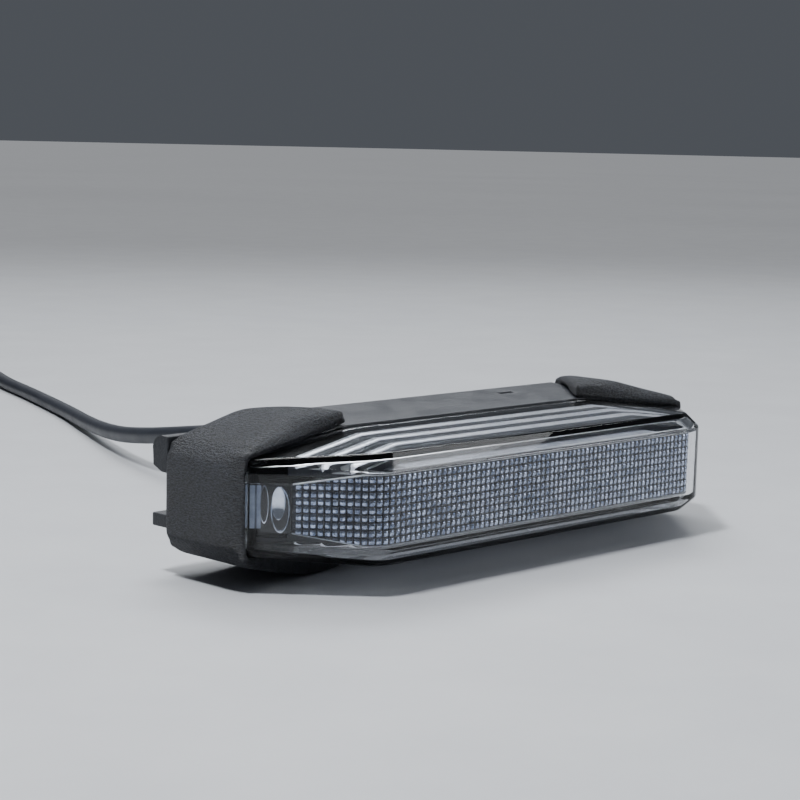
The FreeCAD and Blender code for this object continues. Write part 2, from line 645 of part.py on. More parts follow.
def turned(name, profile, axis_rise="0"):
    """A body turned about its Y axis from a half section (radius, place along the axis)."""
    body = new_body(name, axis_rise)
    half = new_sketch(body, "XY_Plane", name + "_section")
    outline(half, profile)
    revolve(body, half, "Y_Axis")
    return body


def moved(source, place):
    copy = source.Tip.Shape.copy()
    copy.Placement = place.multiply(copy.Placement)
    return copy


def group(name, source, places, turn=0):
    """Like pieces in one node: copies of a body's solid at places in the bar's frame."""
    copies = []
    for x, y, z in places:
        place = FreeCAD.Placement(V(number(x), number(y), number(z)), FreeCAD.Rotation(V(0, 0, 1), turn))
        copies.append(moved(source, place))
    return fixed_shape(name, Part.makeCompound(copies))


def screw(name, length):
    """Pan head screw with a socket; its shank runs towards +Y from the underside of the head."""
    top, socket, out = "-screw_head_height", "screw_width * 0.4", "screw_head / 2"
    return turned(name, [("0", "-screw_head_height * 0.4"), (socket, "-screw_head_height * 0.5"), (socket, top),
                         (out + " * 0.8", top), (out, top + " * 0.6"), (out, "0"), ("screw_width / 2", "0"),
                         ("screw_width / 2", "%s - screw_width * 0.4" % length), ("0", length)])


def mount_inserts():
    sleeve = turned("insert", [("insert_bore / 2", "0"), ("insert_width / 2", "0"),
                               ("insert_width / 2", "tab_reach"), ("insert_bore / 2", "tab_reach")])
    return group("mount_inserts", sleeve, [("mount_spacing / 2", "case_depth", WEB_MIDDLE),
                                           ("-mount_spacing / 2", "case_depth", WEB_MIDDLE)])


def cable_gland():
    """Soft plug in the case's back wall: a flange on each side of the wall and a neck between."""
    wall, out = "gland_flange_wall", "gland_flange / 2"
    return turned("cable_gland", [("0", "%s - %s" % (FLOOR, wall)), (out, "%s - %s" % (FLOOR, wall)),
                                  (out, FLOOR), ("gland_width / 2", FLOOR), ("gland_width / 2", "case_depth"),
                                  (out, "case_depth"), (out, "case_depth + " + wall),
                                  ("0", "case_depth + " + wall)], WEB_MIDDLE)


BOOT_RINGS = 4


def strain_relief():
    """Tapered boot behind the gland, with rings cut round it."""
    step = "(boot_length / %d)" % (2 * BOOT_RINGS + 1)
    taper = "((gland_width - boot_tip) / 2 / boot_length)"
    profile = [("0", BOOT_START)]
    for index in range(2 * BOOT_RINGS + 1):
        deep = "boot_cut" if index % 2 else "0"
        for end in (index, index + 1):
            profile.append(("gland_width / 2 - %s * %s * %d - %s" % (taper, step, end, deep),
                            "%s + %s * %d" % (BOOT_START, step, end)))
    profile.append(("0", "%s + boot_length" % BOOT_START))
    return turned("strain_relief", profile, WEB_MIDDLE)


def vent_plug():
    return turned("vent_disc", [("0", "case_depth - vent_wall * 0.7"), ("vent_width / 2", "case_depth - vent_wall"),
                                ("vent_width / 2", "case_depth"), ("0", "case_depth - vent_wall * 0.2")], WEB_MIDDLE)


# What the lens shows

def grid_optic():
    """Bent strip behind the lens: rows of ribs in front, upright flutes behind, narrower at its ends."""
    body = new_body("grid_optic")
    run, rise = "facet_run / %s" % FACET_LENGTH, "rim_depth / %s" % FACET_LENGTH
    half_turn = "tan(atan(rim_depth / facet_run) / 2)"
    reach = "(optic_reach * %s)" % FACET_LENGTH

    def corner(depth):
        return "(face_length / 2 - %s * %s)" % (depth, half_turn)

    def tip(depth):
        return ("(face_length / 2 + %s * %s - %s * %s)" % (reach, run, depth, rise),
                "(%s * %s + %s * %s)" % (reach, rise, depth, run))

    front, rear = tip(OPTIC_FRONT), tip(OPTIC_BACK)
    right = [(corner(OPTIC_FRONT), OPTIC_FRONT), front, rear, (corner(OPTIC_BACK), OPTIC_BACK)]
    left = [("-" + x, y) for x, y in reversed(right)]
    plan = new_sketch(body, "XY_Plane", "optic_plan")
    outline(plan, right + left)
    pad(body, plan, "optic_height", middle=True)
    for side, name in (("", "right_taper"), ("-", "left_taper")):
        start, stop = side + corner(OPTIC_FRONT), side + front[0]
        beyond = side + "overall_length"
        taper = new_sketch(body, "XZ_Plane", name)
        outline(taper, [(start, "optic_height / 2"), (stop, "optic_end_height / 2"),
                        (beyond, "optic_end_height / 2"), (beyond, "optic_height"), (start, "optic_height")])
        mirror(body, [pocket(body, taper, "2 * case_depth", middle=True)], "XY_Plane")
    flute = new_sketch(body, "XY_Plane", "flute")
    start, over = "(-face_length / 2 + optic_margin)", " + flute_cut / 10"
    outline(flute, [(start + " - flute_cut", OPTIC_BACK + over), (start, OPTIC_BACK + " - flute_cut"),
                    (start + " + flute_cut", OPTIC_BACK + over)])
    cut = pocket(body, flute, "2 * optic_height", middle=True)
    repeat(body, [cut], "X_Axis", "flute_pitch", "(floor((face_length - 2 * optic_margin) / flute_pitch) + 1)")
    row = new_sketch(body, "YZ_Plane", "row")
    low, before = "(-optic_end_height / 2 + flute_cut)", " - flute_cut / 10"
    outline(row, [(OPTIC_FRONT + before, low + " - flute_cut"), (OPTIC_FRONT + " + flute_cut", low),
                  (OPTIC_FRONT + before, low + " + flute_cut")])
    line = pocket(body, row, "face_length - 2 * optic_margin", middle=True)
    repeat(body, [line], "Z_Axis", "row_pitch", "(floor((optic_end_height - 2 * flute_cut) / row_pitch) + 1)")
    return body


def light_guide(name, side):
    """Clear bar with three round ribs that lies between reflector and lens. side is 1 above, -1 below."""
    body = new_body(name)
    sign = "" if side > 0 else "-"
    base = "%s(reflector_height / 2 + clearance / 2)" % sign
    rib_round = "((guide_rib ^ 2 / 4 + guide_rise ^ 2) / 2 / guide_rise)"
    edges = ["(guide_front + %d * guide_rib)" % index for index in range(4)]

    def valley(y):
        ceiling = "(bevel_height / 2 + %s * (%s - bevel_run) - lens_wall - 2 * clearance)" % (TOP_SLOPE, y)
        return "%s(%s - guide_rise)" % (sign, ceiling)

    corners = [(edges[0], base), (edges[-1], base)]
    bulge = rib_round if side > 0 else "-" + rib_round
    for y in reversed(edges[1:]):
        corners.append((y, valley(y), bulge))
    corners.append((edges[0], valley(edges[0])))
    section = new_sketch(body, "YZ_Plane", name + "_section")
    outline(section, corners)
    pad(body, section, "guide_length", middle=True)
    return body


def reflector():
    """White tray on the lamp board with one flared cup round each chip."""
    body = new_body("reflector")
    face = new_sketch(body, "XZ_Plane", "reflector_face", "-" + REFLECTOR_FRONT)
    outline(face, box_loop("0", "0", "reflector_length", "reflector_height"))
    pad(body, face, "board_front - " + REFLECTOR_FRONT, back=True)
    first = "(-(cup_count - 1) / 2 * cup_pitch)"
    mouth = new_sketch(body, "XZ_Plane", "cup_mouth", "-" + REFLECTOR_FRONT)
    outline(mouth, box_loop(first, "0", "cup_pitch - reflector_wall", "reflector_height - 2 * reflector_wall"))
    floor = new_sketch(body, "XZ_Plane", "cup_floor", "-board_front")
    outline(floor, box_loop(first, "0", "cup_floor", "cup_floor"))
    cup = body.newObject("PartDesign::SubtractiveLoft", "cup")
    cup.Profile = mouth
    cup.Sections = [floor]
    cup.Ruled = True
    doc.recompute()
    repeat(body, [cup], "X_Axis", "cup_pitch", "cup_count")
    return body


def side_reflector_right():
    """Bright block behind the outer part of the end facet, with an oblong cup and a narrow one."""
    body = doc.addObject("PartDesign::Body", "side_reflector_right")
    body.Label = "side_reflector_right"
    stand(body)
    body.setExpression("Placement.Base.x", bound("face_length / 2"))
    body.Placement.Rotation.Axis = V(0, 0, 1)
    body.setExpression("Placement.Rotation.Angle", bound("atan(rim_depth / facet_run)"))
    front = "(lens_wall + 2 * clearance)"
    start, stop = "(side_start * %s)" % FACET_LENGTH, "(side_stop * %s)" % FACET_LENGTH
    face = new_sketch(body, "XZ_Plane", "side_face", "-" + front)
    outline(face, [(start, "-side_height / 2"), (stop, "-side_height / 2"),
                   (stop, "side_height / 2"), (start, "side_height / 2")])
    pad(body, face, "side_wall", back=True)
    cups = new_sketch(body, "XZ_Plane", "side_cups", "-" + front)
    edge = start
    for name in ("cup", "narrow_cup"):
        left, right = "(%s + clearance * 3)" % edge, "(%s + clearance * 3 + %s_width)" % (edge, name)
        high, bow = "(%s_height / 2)" % name, "%s_width * 0.55" % name
        outline(cups, [(left, "-" + high, bow), (right, "-" + high), (right, high, bow), (left, high)])
        edge = right
    pocket(body, cups, "side_wall - side_floor")
    return body


# Boards and what is on them

def flat_board(name, length, height, front, wall, holes=(), hole="screw_width + 2 * clearance"):
    """An upright rectangular board with round holes."""
    body = new_body(name)
    face = new_sketch(body, "XZ_Plane", name + "_face", "-" + front)
    outline(face, box_loop("0", "0", length, height))
    for x, z in holes:
        circle(face, x, z, hole)
    pad(body, face, wall, back=True)
    return body


def lamp_board():
    return flat_board("lamp_board", "board_length", "board_height", "board_front", "board_wall", BOARD_SCREWS)


def thermal_pad():
    body = flat_board("thermal_pad", "reflector_length", "board_height - 2 * pad_wall", BOARD_BACK, "pad_wall")
    hole = new_sketch(body, "XZ_Plane", "pad_hole", "-" + BOARD_BACK)
    circle(hole, LEAD_HOLE[0], LEAD_HOLE[1], "4 * lead_width")
    pocket(body, hole, "pad_wall")
    return body


def heat_spreader():
    """Folded aluminium sheet that carries the lamp board on the case's posts."""
    body = new_body("heat_spreader")
    front, back = SPREADER_FRONT, SPREADER_BACK
    half, lip = "board_height / 2", "(%s + spreader_lip)" % SPREADER_BACK
    section = new_sketch(body, "YZ_Plane", "spreader_section")
    outline(section, [(front, "-" + half), (lip, "-" + half), (lip, "-(%s - spreader_wall)" % half),
                      (back, "-(%s - spreader_wall)" % half), (back, "%s - spreader_wall" % half),
                      (lip, "%s - spreader_wall" % half), (lip, half), (front, half)])
    pad(body, section, "board_length - spreader_wall", middle=True)
    ends = new_sketch(body, "XZ_Plane", "lip_notch", "-" + back)
    reach = "(post_spacing / 2 - post_width)"
    outline(ends, [(reach, "-overall_height / 2"), ("board_length", "-overall_height / 2"),
                   ("board_length", "overall_height / 2"), (reach, "overall_height / 2")])
    cut = pocket(body, ends, "2 * spreader_lip")
    mirror(body, [cut], "YZ_Plane")
    holes = new_sketch(body, "XZ_Plane", "spreader_holes", "-" + front)
    for x, z in BOARD_SCREWS:
        circle(holes, x, z, "screw_width + 2 * clearance")
    circle(holes, LEAD_HOLE[0], LEAD_HOLE[1], "4 * lead_width")
    pocket(body, holes, "spreader_wall + pad_wall")
    return body


def lamp_chips():
    chip = new_body("chip")
    base = new_sketch(chip, "XZ_Plane", "chip_base")
    outline(base, box_loop("0", "0", "chip_width", "chip_width"))
    pad(chip, base, "chip_height / 2")
    dome = new_sketch(chip, "XZ_Plane", "chip_dome", "chip_height / 2")
    circle(dome, "0", "0", "chip_width * 0.8")
    pad(chip, dome, "chip_height / 2")
    places = [("(%d - (cup_count - 1) / 2) * cup_pitch" % index, "board_front", "0")
              for index in range(int(number("cup_count")))]
    return group("lamp_chips", chip, places)


def driver_board():
    return flat_board("driver_board", "driver_length", "driver_height", DRIVER_FRONT, "board_wall",
                      [(x, "0") for x in DRIVER_SCREWS])


def driver_inductor():
    """Wound choke: ferrite drum on the front of the driver board."""
    out, waist, high = "choke_width / 2", "choke_width * 0.4", "choke_height"
    drum = turned("choke", [("0", "-" + high), (out, "-" + high), (out, "-%s * 0.82" % high),
                            (waist, "-%s * 0.76" % high), (waist, "-%s * 0.24" % high), (out, "-%s * 0.18" % high),
                            (out, "0"), ("0", "0")])
    return group("driver_inductor", drum, [("-driver_spacing / 4", DRIVER_FRONT, "0")])


def driver_capacitors():
    out, high = "can_width / 2", "can_height"
    can = turned("can", [("0", "-" + high), (out + " * 0.88", "-" + high), (out, "-%s * 0.9" % high),
                         (out, "-%s * 0.12" % high), (out + " * 0.84", "0"), ("0", "0")])
    return group("driver_capacitors", can, [("0", DRIVER_FRONT, "can_spacing / 2"),
                                            ("0", DRIVER_FRONT, "-can_spacing / 2")])


def driver_chips():
    chip = new_body("regulator")
    face = new_sketch(chip, "XZ_Plane", "regulator_face")
    outline(face, box_loop("0", "0", "regulator_length", "regulator_width"))
    pad(chip, face, "regulator_height")
    return group("driver_chips", chip, [("driver_spacing / 6", DRIVER_FRONT, "driver_height / 4"),
                                        ("driver_spacing / 6", DRIVER_FRONT, "-driver_height / 4")])


def lead_terminal():
    """Housing on the back of the driver board that takes the two leads."""
    body = new_body("lead_terminal")
    face = new_sketch(body, "XZ_Plane", "terminal_face", "-" + DRIVER_REAR)
    outline(face, box_loop("(terminal_place + terminal_width / 2)", WEB_MIDDLE, "terminal_width", "terminal_width"))
    pad(body, face, "terminal_height", back=True)
    return body


# The cord

def arc_round(start, corner, end):
    """Arc from start to end, both as far from the corner, tangent to its two sides."""
    middle = (start + end) * 0.5
    half, rise = start.distanceToPoint(middle), corner.distanceToPoint(middle)
    top = middle + (corner - middle) * (half * math.tan(math.atan2(rise, half) / 2) / rise)
    return Part.Arc(start, top, end).toShape()


def rounded_path(points, share=0.45):
    """Straight runs joined by tangent arcs, each as large as its two runs allow, with the radii."""
    edges, radii, last = [], [], points[0]
    for before, corner, after in zip(points, points[1:], points[2:]):
        reach = share * min(corner.distanceToPoint(before), corner.distanceToPoint(after))
        start = corner + (before - corner).normalize() * reach
        end = corner + (after - corner).normalize() * reach
        edges += [Part.LineSegment(last, start).toShape(), arc_round(start, corner, end)]
        turn = (corner - before).getAngle(after - corner)
        radii.append(reach / math.tan(turn / 2))
        last = end
    edges.append(Part.LineSegment(last, points[-1]).toShape())
    return Part.Wire(edges), radii


def tube(path, start, along, width):
    """Round tube swept along a path, checked against its section times its length."""
    ring_edge = Part.makeCircle(width / 2, start, along)
    solid = path.makePipeShell([Part.Wire([ring_edge])], True, False)
    wanted = math.pi * width ** 2 / 4 * path.Length
    if abs(solid.Volume - wanted) > 0.01 * wanted:
        raise ValueError("tube of %.1f mm holds %.1f, not %.1f" % (path.Length, solid.Volume, wanted))
    return solid


def inner_leads():
    """Two leads from the gland to the terminal, and two from the driver board to the lamp board."""
    width = number("lead_width")
    gap = number("lead_width / 2 + 0.2")
    start = number("%s - gland_flange_wall" % FLOOR)
    rear = number("(%s + terminal_height / 2)" % DRIVER_REAR)
    solids = []
    for side in (1, -1):
        height = number(WEB_MIDDLE) + side * gap
        path, radii = rounded_path([V(0, start, height), V(0, rear, height),
                                    V(number("terminal_place"), rear, height)], 0.9)
        solids.append(tube(path, V(0, start, height), V(0, 1, 0), width))
        x, z = number(LEAD_HOLE[0]), side * gap
        solids.append(Part.makeCylinder(width / 2, number("%s - %s" % (DRIVER_FRONT, BOARD_BACK)),
                                        V(x, number(BOARD_BACK), z), V(0, 1, 0)))
    return fixed_shape("inner_leads", Part.makeCompound(solids))


# The free cord's route in the standing frame, from the boot's tip to the coil, by hand
CORD_EXIT_RUN = 20
CORD_ROUTE = [(0.9, 83, 15.9), (3.5, 106, 12.3), (8.5, 130, 8.6), (18, 155, 5.4), (32, 186, 3.3),
              (46, 216, 2.4), (57, 245, 2.3), (66, 270, 2.3), (73, 292, 2.4)]
COIL_MIDDLE = V(52.8, 344.6, 0)
COIL_ENTRY_RUN = 24


def coil_height():
    return number("tie_wall + clearance + cord_width / 2")


def cord():
    """The stretch between boot and coil, which hangs from the boot and comes to lie on the ground."""
    start = V(0, number("%s + boot_length - %s / 2" % (BOOT_START, DEPTH)),
              number("overall_height / 2 + %s" % WEB_MIDDLE))
    side = COIL_MIDDLE.x + number("coil_radius")
    end = V(side, COIL_MIDDLE.y - number("cord_width"), coil_height())
    points = [start, start + V(0, CORD_EXIT_RUN, 0)] + [V(*spot) for spot in CORD_ROUTE]
    points += [end - V(0, COIL_ENTRY_RUN, 0), end]
    path, radii = rounded_path(points)
    width = number("cord_width")
    print("cord", round(path.Length, 1), "mm, radii", [round(radius) for radius in radii])
    print("cord runs", [round(a.distanceToPoint(b), 1) for a, b in zip(points, points[1:])])
    return ground_shape("cord", tube(path, start, V(0, 1, 0), width)), path.Length


def ground_shape(name, shape):
    """A piece that lies on the ground, in the standing frame."""
    thing = doc.addObject("Part::Feature", name)
    thing.Label = name
    thing.Shape = shape
    return thing


COIL_TAIL = 0.3
TAIL_SPREAD = 14


def eased(share):
    """0 to 1 with a level start and end."""
    return share ** 2 * (3 - 2 * share)


def coil_last():
    return 2 * number("coil_turns")


def coil_spot(turns):
    """Middle of the cord after so many turns: in along the ground, out again one layer up, and a
    short tail that comes down outside the turns to the connector's height."""
    low, pitch, middle = coil_height(), number("coil_pitch"), number("coil_turns")
    radius = number("coil_radius") - pitch * middle + pitch * abs(min(turns, coil_last()) - middle)
    climb = min(max((turns - middle) / 0.5 + 0.5, 0), 1)
    height = low + pitch * eased(climb)
    if turns > coil_last():
        share = (turns - coil_last()) / COIL_TAIL
        radius += TAIL_SPREAD * share ** 2
        height += (number("plug_width") / 2 - height) * eased(max(2 * share - 1, 0))
    angle = 2 * math.pi * turns
    return COIL_MIDDLE + V(radius * math.cos(angle), radius * math.sin(angle), height)


def coil_way(turns):
    """Direction of the cord after so many turns."""
    if turns == 0:
        return V(0, 1, 0)
    step = 1e-4
    return (coil_spot(turns + step) - coil_spot(turns - step)).normalize()


def biarc(start, way, end, way_out):
    """Two tangent arcs between two points with given directions."""
    chord = end - start
    bend = 2 * (way.dot(way_out) - 1)
    slant = chord.dot(way + way_out)
    square = chord.dot(chord)
    reach = square / (slant + math.sqrt(slant ** 2 - bend * square))
    first, second = start + way * reach, end - way_out * reach
    joint = (first + second) * 0.5
    return [arc_round(start, first, joint), arc_round(joint, second, end)]


def cord_coil():
    """The stored length: turns beside and on each other, with a straight end before the connector."""
    width = number("cord_width")
    marks = [index / 4 for index in range(int(coil_last() * 4) + 1)]
    marks += [coil_last() + COIL_TAIL * share for share in (0.25, 0.5, 0.75, 1)]
    start = coil_spot(0)
    edges = [Part.LineSegment(start - V(0, width, 0), start).toShape()]
    for before, after in zip(marks, marks[1:]):
        edges += biarc(coil_spot(before), coil_way(before), coil_spot(after), coil_way(after))
    end, way = coil_spot(marks[-1]), coil_way(marks[-1])
    edges.append(Part.LineSegment(end, end + way * width).toShape())
    path = Part.Wire(edges)
    spots = path.discretize(Distance=1.5)
    gap = min(spots[i].distanceToPoint(spots[j]) for i in range(len(spots))
              for j in range(i + 14, len(spots))) - width
    print("coil", round(path.Length, 1), "mm, least gap to itself", round(gap, 2))
    if gap < 0.4:
        raise ValueError("the coil's turns come too near each other")
    solid = tube(path, start - V(0, width, 0), V(0, 1, 0), width)
    return ground_shape("cord_coil", solid), path.Length, end + way * width, way


def lying(thing, spot, way):
    """Lays a body that is turned about its own Y axis along a direction on the ground."""
    thing.setExpression("Placement.Base.y", None)
    thing.setExpression("Placement.Base.z", None)
    thing.Placement = FreeCAD.Placement(spot, FreeCAD.Rotation(V(0, 1, 0), way))


def connector(spot, way):
    """Round moulded plug with a waist where it is held and a tapered tail on the cord."""
    out, tail = "plug_width / 2", "(cord_width / 2 * 1.25)"
    waist = "(plug_width * 0.44)"
    profile = [("0", "0"), (tail, "0"), ("(plug_width * 0.4)", "plug_length * 0.3"), (out, "plug_length * 0.36"),
               (out, "plug_length * 0.46"), (waist, "plug_length * 0.5"), (waist, "plug_length * 0.62"),
               (out, "plug_length * 0.66"), (out, "plug_length * 0.98"), (waist, "plug_length"), ("0", "plug_length")]
    body = turned("connector", profile)
    lying(body, spot, way)
    return body


def connector_pins(spot, way):
    pin = turned("pin", [("0", "0"), ("pin_width / 2", "0"), ("pin_width / 2", "pin_reach * 0.9"),
                         ("pin_width * 0.3", "pin_reach"), ("0", "pin_reach")])
    copies = []
    for side in (1, -1):
        place = FreeCAD.Placement(V(side * number("pin_spacing / 2"), number("plug_length"), 0),
                                  FreeCAD.Rotation())
        copies.append(moved(pin, place))
    thing = ground_shape("connector_pins", Part.makeCompound(copies))
    thing.Placement = FreeCAD.Placement(spot, FreeCAD.Rotation(V(0, 1, 0), way))
    return thing


def cord_tie():
    """Flat strap round the turns on the side away from the light. Its underside is on the ground."""
    body = doc.addObject("PartDesign::Body", "cord_tie")
    body.Label = "cord_tie"
    body.Placement.Base = COIL_MIDDLE
    inner = "(coil_radius - coil_pitch * (coil_turns - 0.25) - cord_width / 2 - 2 * clearance)"
    outer = "(coil_radius - coil_pitch * 0.25 + cord_width / 2 + 2 * clearance)"
    low, high = "tie_wall", "(tie_wall + cord_width + coil_pitch + 2 * clearance)"
    band = new_sketch(body, "YZ_Plane", "tie_band")
    outline(band, [(inner + " - tie_wall", "0"), (outer + " + tie_wall", "0"),
                   (outer + " + tie_wall", high + " + tie_wall"), (inner + " - tie_wall", high + " + tie_wall")])
    outline(band, [(inner, low), (outer, low), (outer, high), (inner, high)])
    pad(body, band, "tie_width", middle=True)
    return body


board_screw = screw("board_screw", "board_screw_length")
case_screw = screw("case_screw", "plate_thickness + back_wall")
cap_screw = screw("cap_screw", "2 * back_wall")
cord_node, cord_length = cord()
coil_node, coil_length, coil_end, coil_out = cord_coil()
print("whole cord", round(cord_length + coil_length), "mm")

PIECES = [
    outer_lens(),
    lens_gasket(),
    rear_case(),
    end_cap_left(),
    rear_bracket(),
    mount_inserts(),
    group("bracket_screws", case_screw,
          [(x, "case_depth + plate_thickness", WEB_MIDDLE) for x in BRACKET_SCREWS], 180),
    group("cap_screws", cap_screw, [(x, "case_depth", WEB_MIDDLE) for x in CAP_SCREWS], 180),
    cable_gland(),
    strain_relief(),
    group("vent_plug", vent_plug(), [("vent_place", "0", WEB_MIDDLE)]),
    grid_optic(),
    light_guide("light_guide_upper", 1),
    light_guide("light_guide_lower", -1),
    reflector(),
    side_reflector_right(),
    lamp_board(),
    lamp_chips(),
    thermal_pad(),
    heat_spreader(),
    group("board_screws", board_screw, [(x, "board_front", z) for x, z in BOARD_SCREWS]),
    driver_board(),
    group("driver_screws", board_screw, [(x, DRIVER_FRONT, "0") for x in DRIVER_SCREWS]),
    driver_inductor(),
    driver_capacitors(),
    driver_chips(),
    lead_terminal(),
    inner_leads(),
    cord_node,
    coil_node,
    connector(coil_end, coil_out),
    connector_pins(coil_end, coil_out),
    cord_tie(),
]
ONCE = {piece.Label: piece for piece in PIECES}
PIECES.append(mirrored_piece("end_cap_right", ONCE["end_cap_left"]))
PIECES.append(mirrored_piece("side_reflector_left", ONCE["side_reflector_right"]))


def check_and_write():
    """Every object has to be sound before anything is written."""
    for thing in doc.Objects:
        if "Invalid" in thing.State or "Error" in thing.State:
            raise ValueError("%s failed" % thing.Name)
    for piece in PIECES:
        if piece.Shape.isNull() or not piece.Shape.isValid():
            raise ValueError("%s is not a sound shape" % piece.Label)
    os.makedirs("parts", exist_ok=True)
    for piece in PIECES:
        piece.Shape.exportStep(os.path.join("parts", piece.Label + ".step"))
        box = piece.Shape.BoundBox
        print(piece.Label, len(piece.Shape.Solids), "solids", round(piece.Shape.Volume, 1),
              [round(edge, 2) for edge in (box.XMin, box.YMin, box.ZMin, box.XMax, box.YMax, box.ZMax)])


check_and_write()
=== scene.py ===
import bmesh
import bpy
import math
from mathutils import Matrix, Vector


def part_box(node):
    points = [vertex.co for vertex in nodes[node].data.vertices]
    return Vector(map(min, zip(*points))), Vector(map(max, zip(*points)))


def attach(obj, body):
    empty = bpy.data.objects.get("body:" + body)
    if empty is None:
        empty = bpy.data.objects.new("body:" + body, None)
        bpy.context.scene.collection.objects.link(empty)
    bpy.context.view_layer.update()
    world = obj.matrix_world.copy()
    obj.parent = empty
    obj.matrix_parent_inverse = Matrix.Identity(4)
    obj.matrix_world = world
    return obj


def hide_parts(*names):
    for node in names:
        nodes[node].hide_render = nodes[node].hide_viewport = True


# A wired rear safety light for a bicycle rack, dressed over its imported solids. X runs along the bar,
# Y from the lens to the bracket, Z up from the ground that its ears stand on. Lengths are in metres,
# or in millimetres where MM scales them at their use.
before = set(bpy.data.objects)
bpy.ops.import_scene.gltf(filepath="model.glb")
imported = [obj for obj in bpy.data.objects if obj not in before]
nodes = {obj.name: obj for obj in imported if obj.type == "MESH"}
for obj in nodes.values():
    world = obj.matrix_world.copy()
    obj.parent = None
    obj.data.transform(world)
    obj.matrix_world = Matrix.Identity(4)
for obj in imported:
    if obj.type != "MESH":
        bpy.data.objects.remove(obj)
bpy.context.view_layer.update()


# Rear case
# A dark glass filled nylon moulding behind the lens. It carries both boards on posts and shows as
# the satin strip between the ears. Its fine texture is etched into the mould.

MM = 0.001
GRAIN_DETAIL = 5
GRAIN_ROUGHNESS = 0.65
GRAIN_WEIGHT = 1.1
BROAD_SCALE = 0.05
BROAD_DETAIL = 3
BROAD_WEIGHT = 0.4
SHADE_RANGE = (0.6, 0.95)
GLOSS_RANGE = (0.3, 0.7)


def add_node(tree, kind, **settings):
    made = tree.nodes.new("ShaderNode" + kind)
    for name, value in settings.items():
        setattr(made, name, value)
    return made


def moulded_skin():
    """Group: a colour, roughness and height that vary as on an etched moulding."""
    group = bpy.data.node_groups.new("moulded_skin", "ShaderNodeTree")
    for name, kind in (("Colour", "NodeSocketColor"), ("Pale Colour", "NodeSocketColor"),
                       ("Grain Scale", "NodeSocketFloat"), ("Upright Stretch", "NodeSocketFloat"),
                       ("Roughness Low", "NodeSocketFloat"), ("Roughness High", "NodeSocketFloat")):
        group.interface.new_socket(name, in_out="INPUT", socket_type=kind)
    for name, kind in (("Colour", "NodeSocketColor"), ("Roughness", "NodeSocketFloat"),
                       ("Height", "NodeSocketFloat")):
        group.interface.new_socket(name, in_out="OUTPUT", socket_type=kind)
    given, out = add_node(group, "TexCoord"), group.nodes.new("NodeGroupOutput")
    values = group.nodes.new("NodeGroupInput")
    stretch = add_node(group, "CombineXYZ")
    stretch.inputs[0].default_value = stretch.inputs[1].default_value = 1
    spread = add_node(group, "VectorMath", operation="MULTIPLY")
    grain = add_node(group, "TexNoise")
    grain.inputs["Detail"].default_value = GRAIN_DETAIL
    grain.inputs["Roughness"].default_value = GRAIN_ROUGHNESS
    broad_scale = add_node(group, "Math", operation="MULTIPLY")
    broad_scale.inputs[1].default_value = BROAD_SCALE
    broad = add_node(group, "TexNoise")
    broad.inputs["Detail"].default_value = BROAD_DETAIL
    both = add_node(group, "Math", operation="MULTIPLY_ADD")
    both.inputs[1].default_value = GRAIN_WEIGHT
    steady = add_node(group, "Math", operation="MULTIPLY")
    steady.inputs[1].default_value = BROAD_WEIGHT
    shade = add_node(group, "MapRange")
    shade.inputs["From Min"].default_value, shade.inputs["From Max"].default_value = SHADE_RANGE
    mixed = add_node(group, "Mix", data_type="RGBA")
    rough = add_node(group, "MapRange")
    rough.inputs["From Min"].default_value, rough.inputs["From Max"].default_value = GLOSS_RANGE
    link = group.links.new
    link(values.outputs["Upright Stretch"], stretch.inputs[2])
    link(given.outputs["Object"], spread.inputs[0])
    link(stretch.outputs[0], spread.inputs[1])
    link(spread.outputs[0], grain.inputs["Vector"])
    link(values.outputs["Grain Scale"], grain.inputs["Scale"])
    link(values.outputs["Grain Scale"], broad_scale.inputs[0])
    link(given.outputs["Object"], broad.inputs["Vector"])
    link(broad_scale.outputs[0], broad.inputs["Scale"])
    link(grain.outputs["Fac"], both.inputs[0])
    link(broad.outputs["Fac"], steady.inputs[0])
    link(steady.outputs[0], both.inputs[2])
    link(both.outputs[0], shade.inputs["Value"])
    link(shade.outputs[0], mixed.inputs["Factor"])
    link(values.outputs["Colour"], mixed.inputs["A"])
    link(values.outputs["Pale Colour"], mixed.inputs["B"])
    link(broad.outputs["Fac"], rough.inputs["Value"])
    link(values.outputs["Roughness Low"], rough.inputs["To Min"])
    link(values.outputs["Roughness High"], rough.inputs["To Max"])
    link(mixed.outputs["Result"], out.inputs["Colour"])
    link(rough.outputs[0], out.inputs["Roughness"])
    link(grain.outputs["Fac"], out.inputs["Height"])
    return group


SKIN = moulded_skin()


def skinned(name, colour, pale, scale, roughness, bump, stretch=1.0, **shader_values):
    """A material whose colour, roughness and relief come from the shared skin."""
    made = bpy.data.materials.new(name)
    made.use_nodes = True
    tree = made.node_tree
    shader = tree.nodes["Principled BSDF"]
    for socket, value in shader_values.items():
        shader.inputs[socket.replace("_", " ")].default_value = value
    skin = tree.nodes.new("ShaderNodeGroup")
    skin.node_tree = SKIN
    skin.inputs["Colour"].default_value = (*colour, 1)
    skin.inputs["Pale Colour"].default_value = (*pale, 1)
    skin.inputs["Grain Scale"].default_value = scale
    skin.inputs["Upright Stretch"].default_value = stretch
    skin.inputs["Roughness Low"].default_value = roughness[0]
    skin.inputs["Roughness High"].default_value = roughness[1]
    relief = add_node(tree, "Bump")
    relief.inputs["Strength"].default_value = 1
    relief.inputs["Distance"].default_value = bump
    tree.links.new(skin.outputs["Colour"], shader.inputs["Base Color"])
    tree.links.new(skin.outputs["Roughness"], shader.inputs["Roughness"])
    tree.links.new(skin.outputs["Height"], relief.inputs["Height"])
    tree.links.new(relief.outputs["Normal"], shader.inputs["Normal"])
    return made


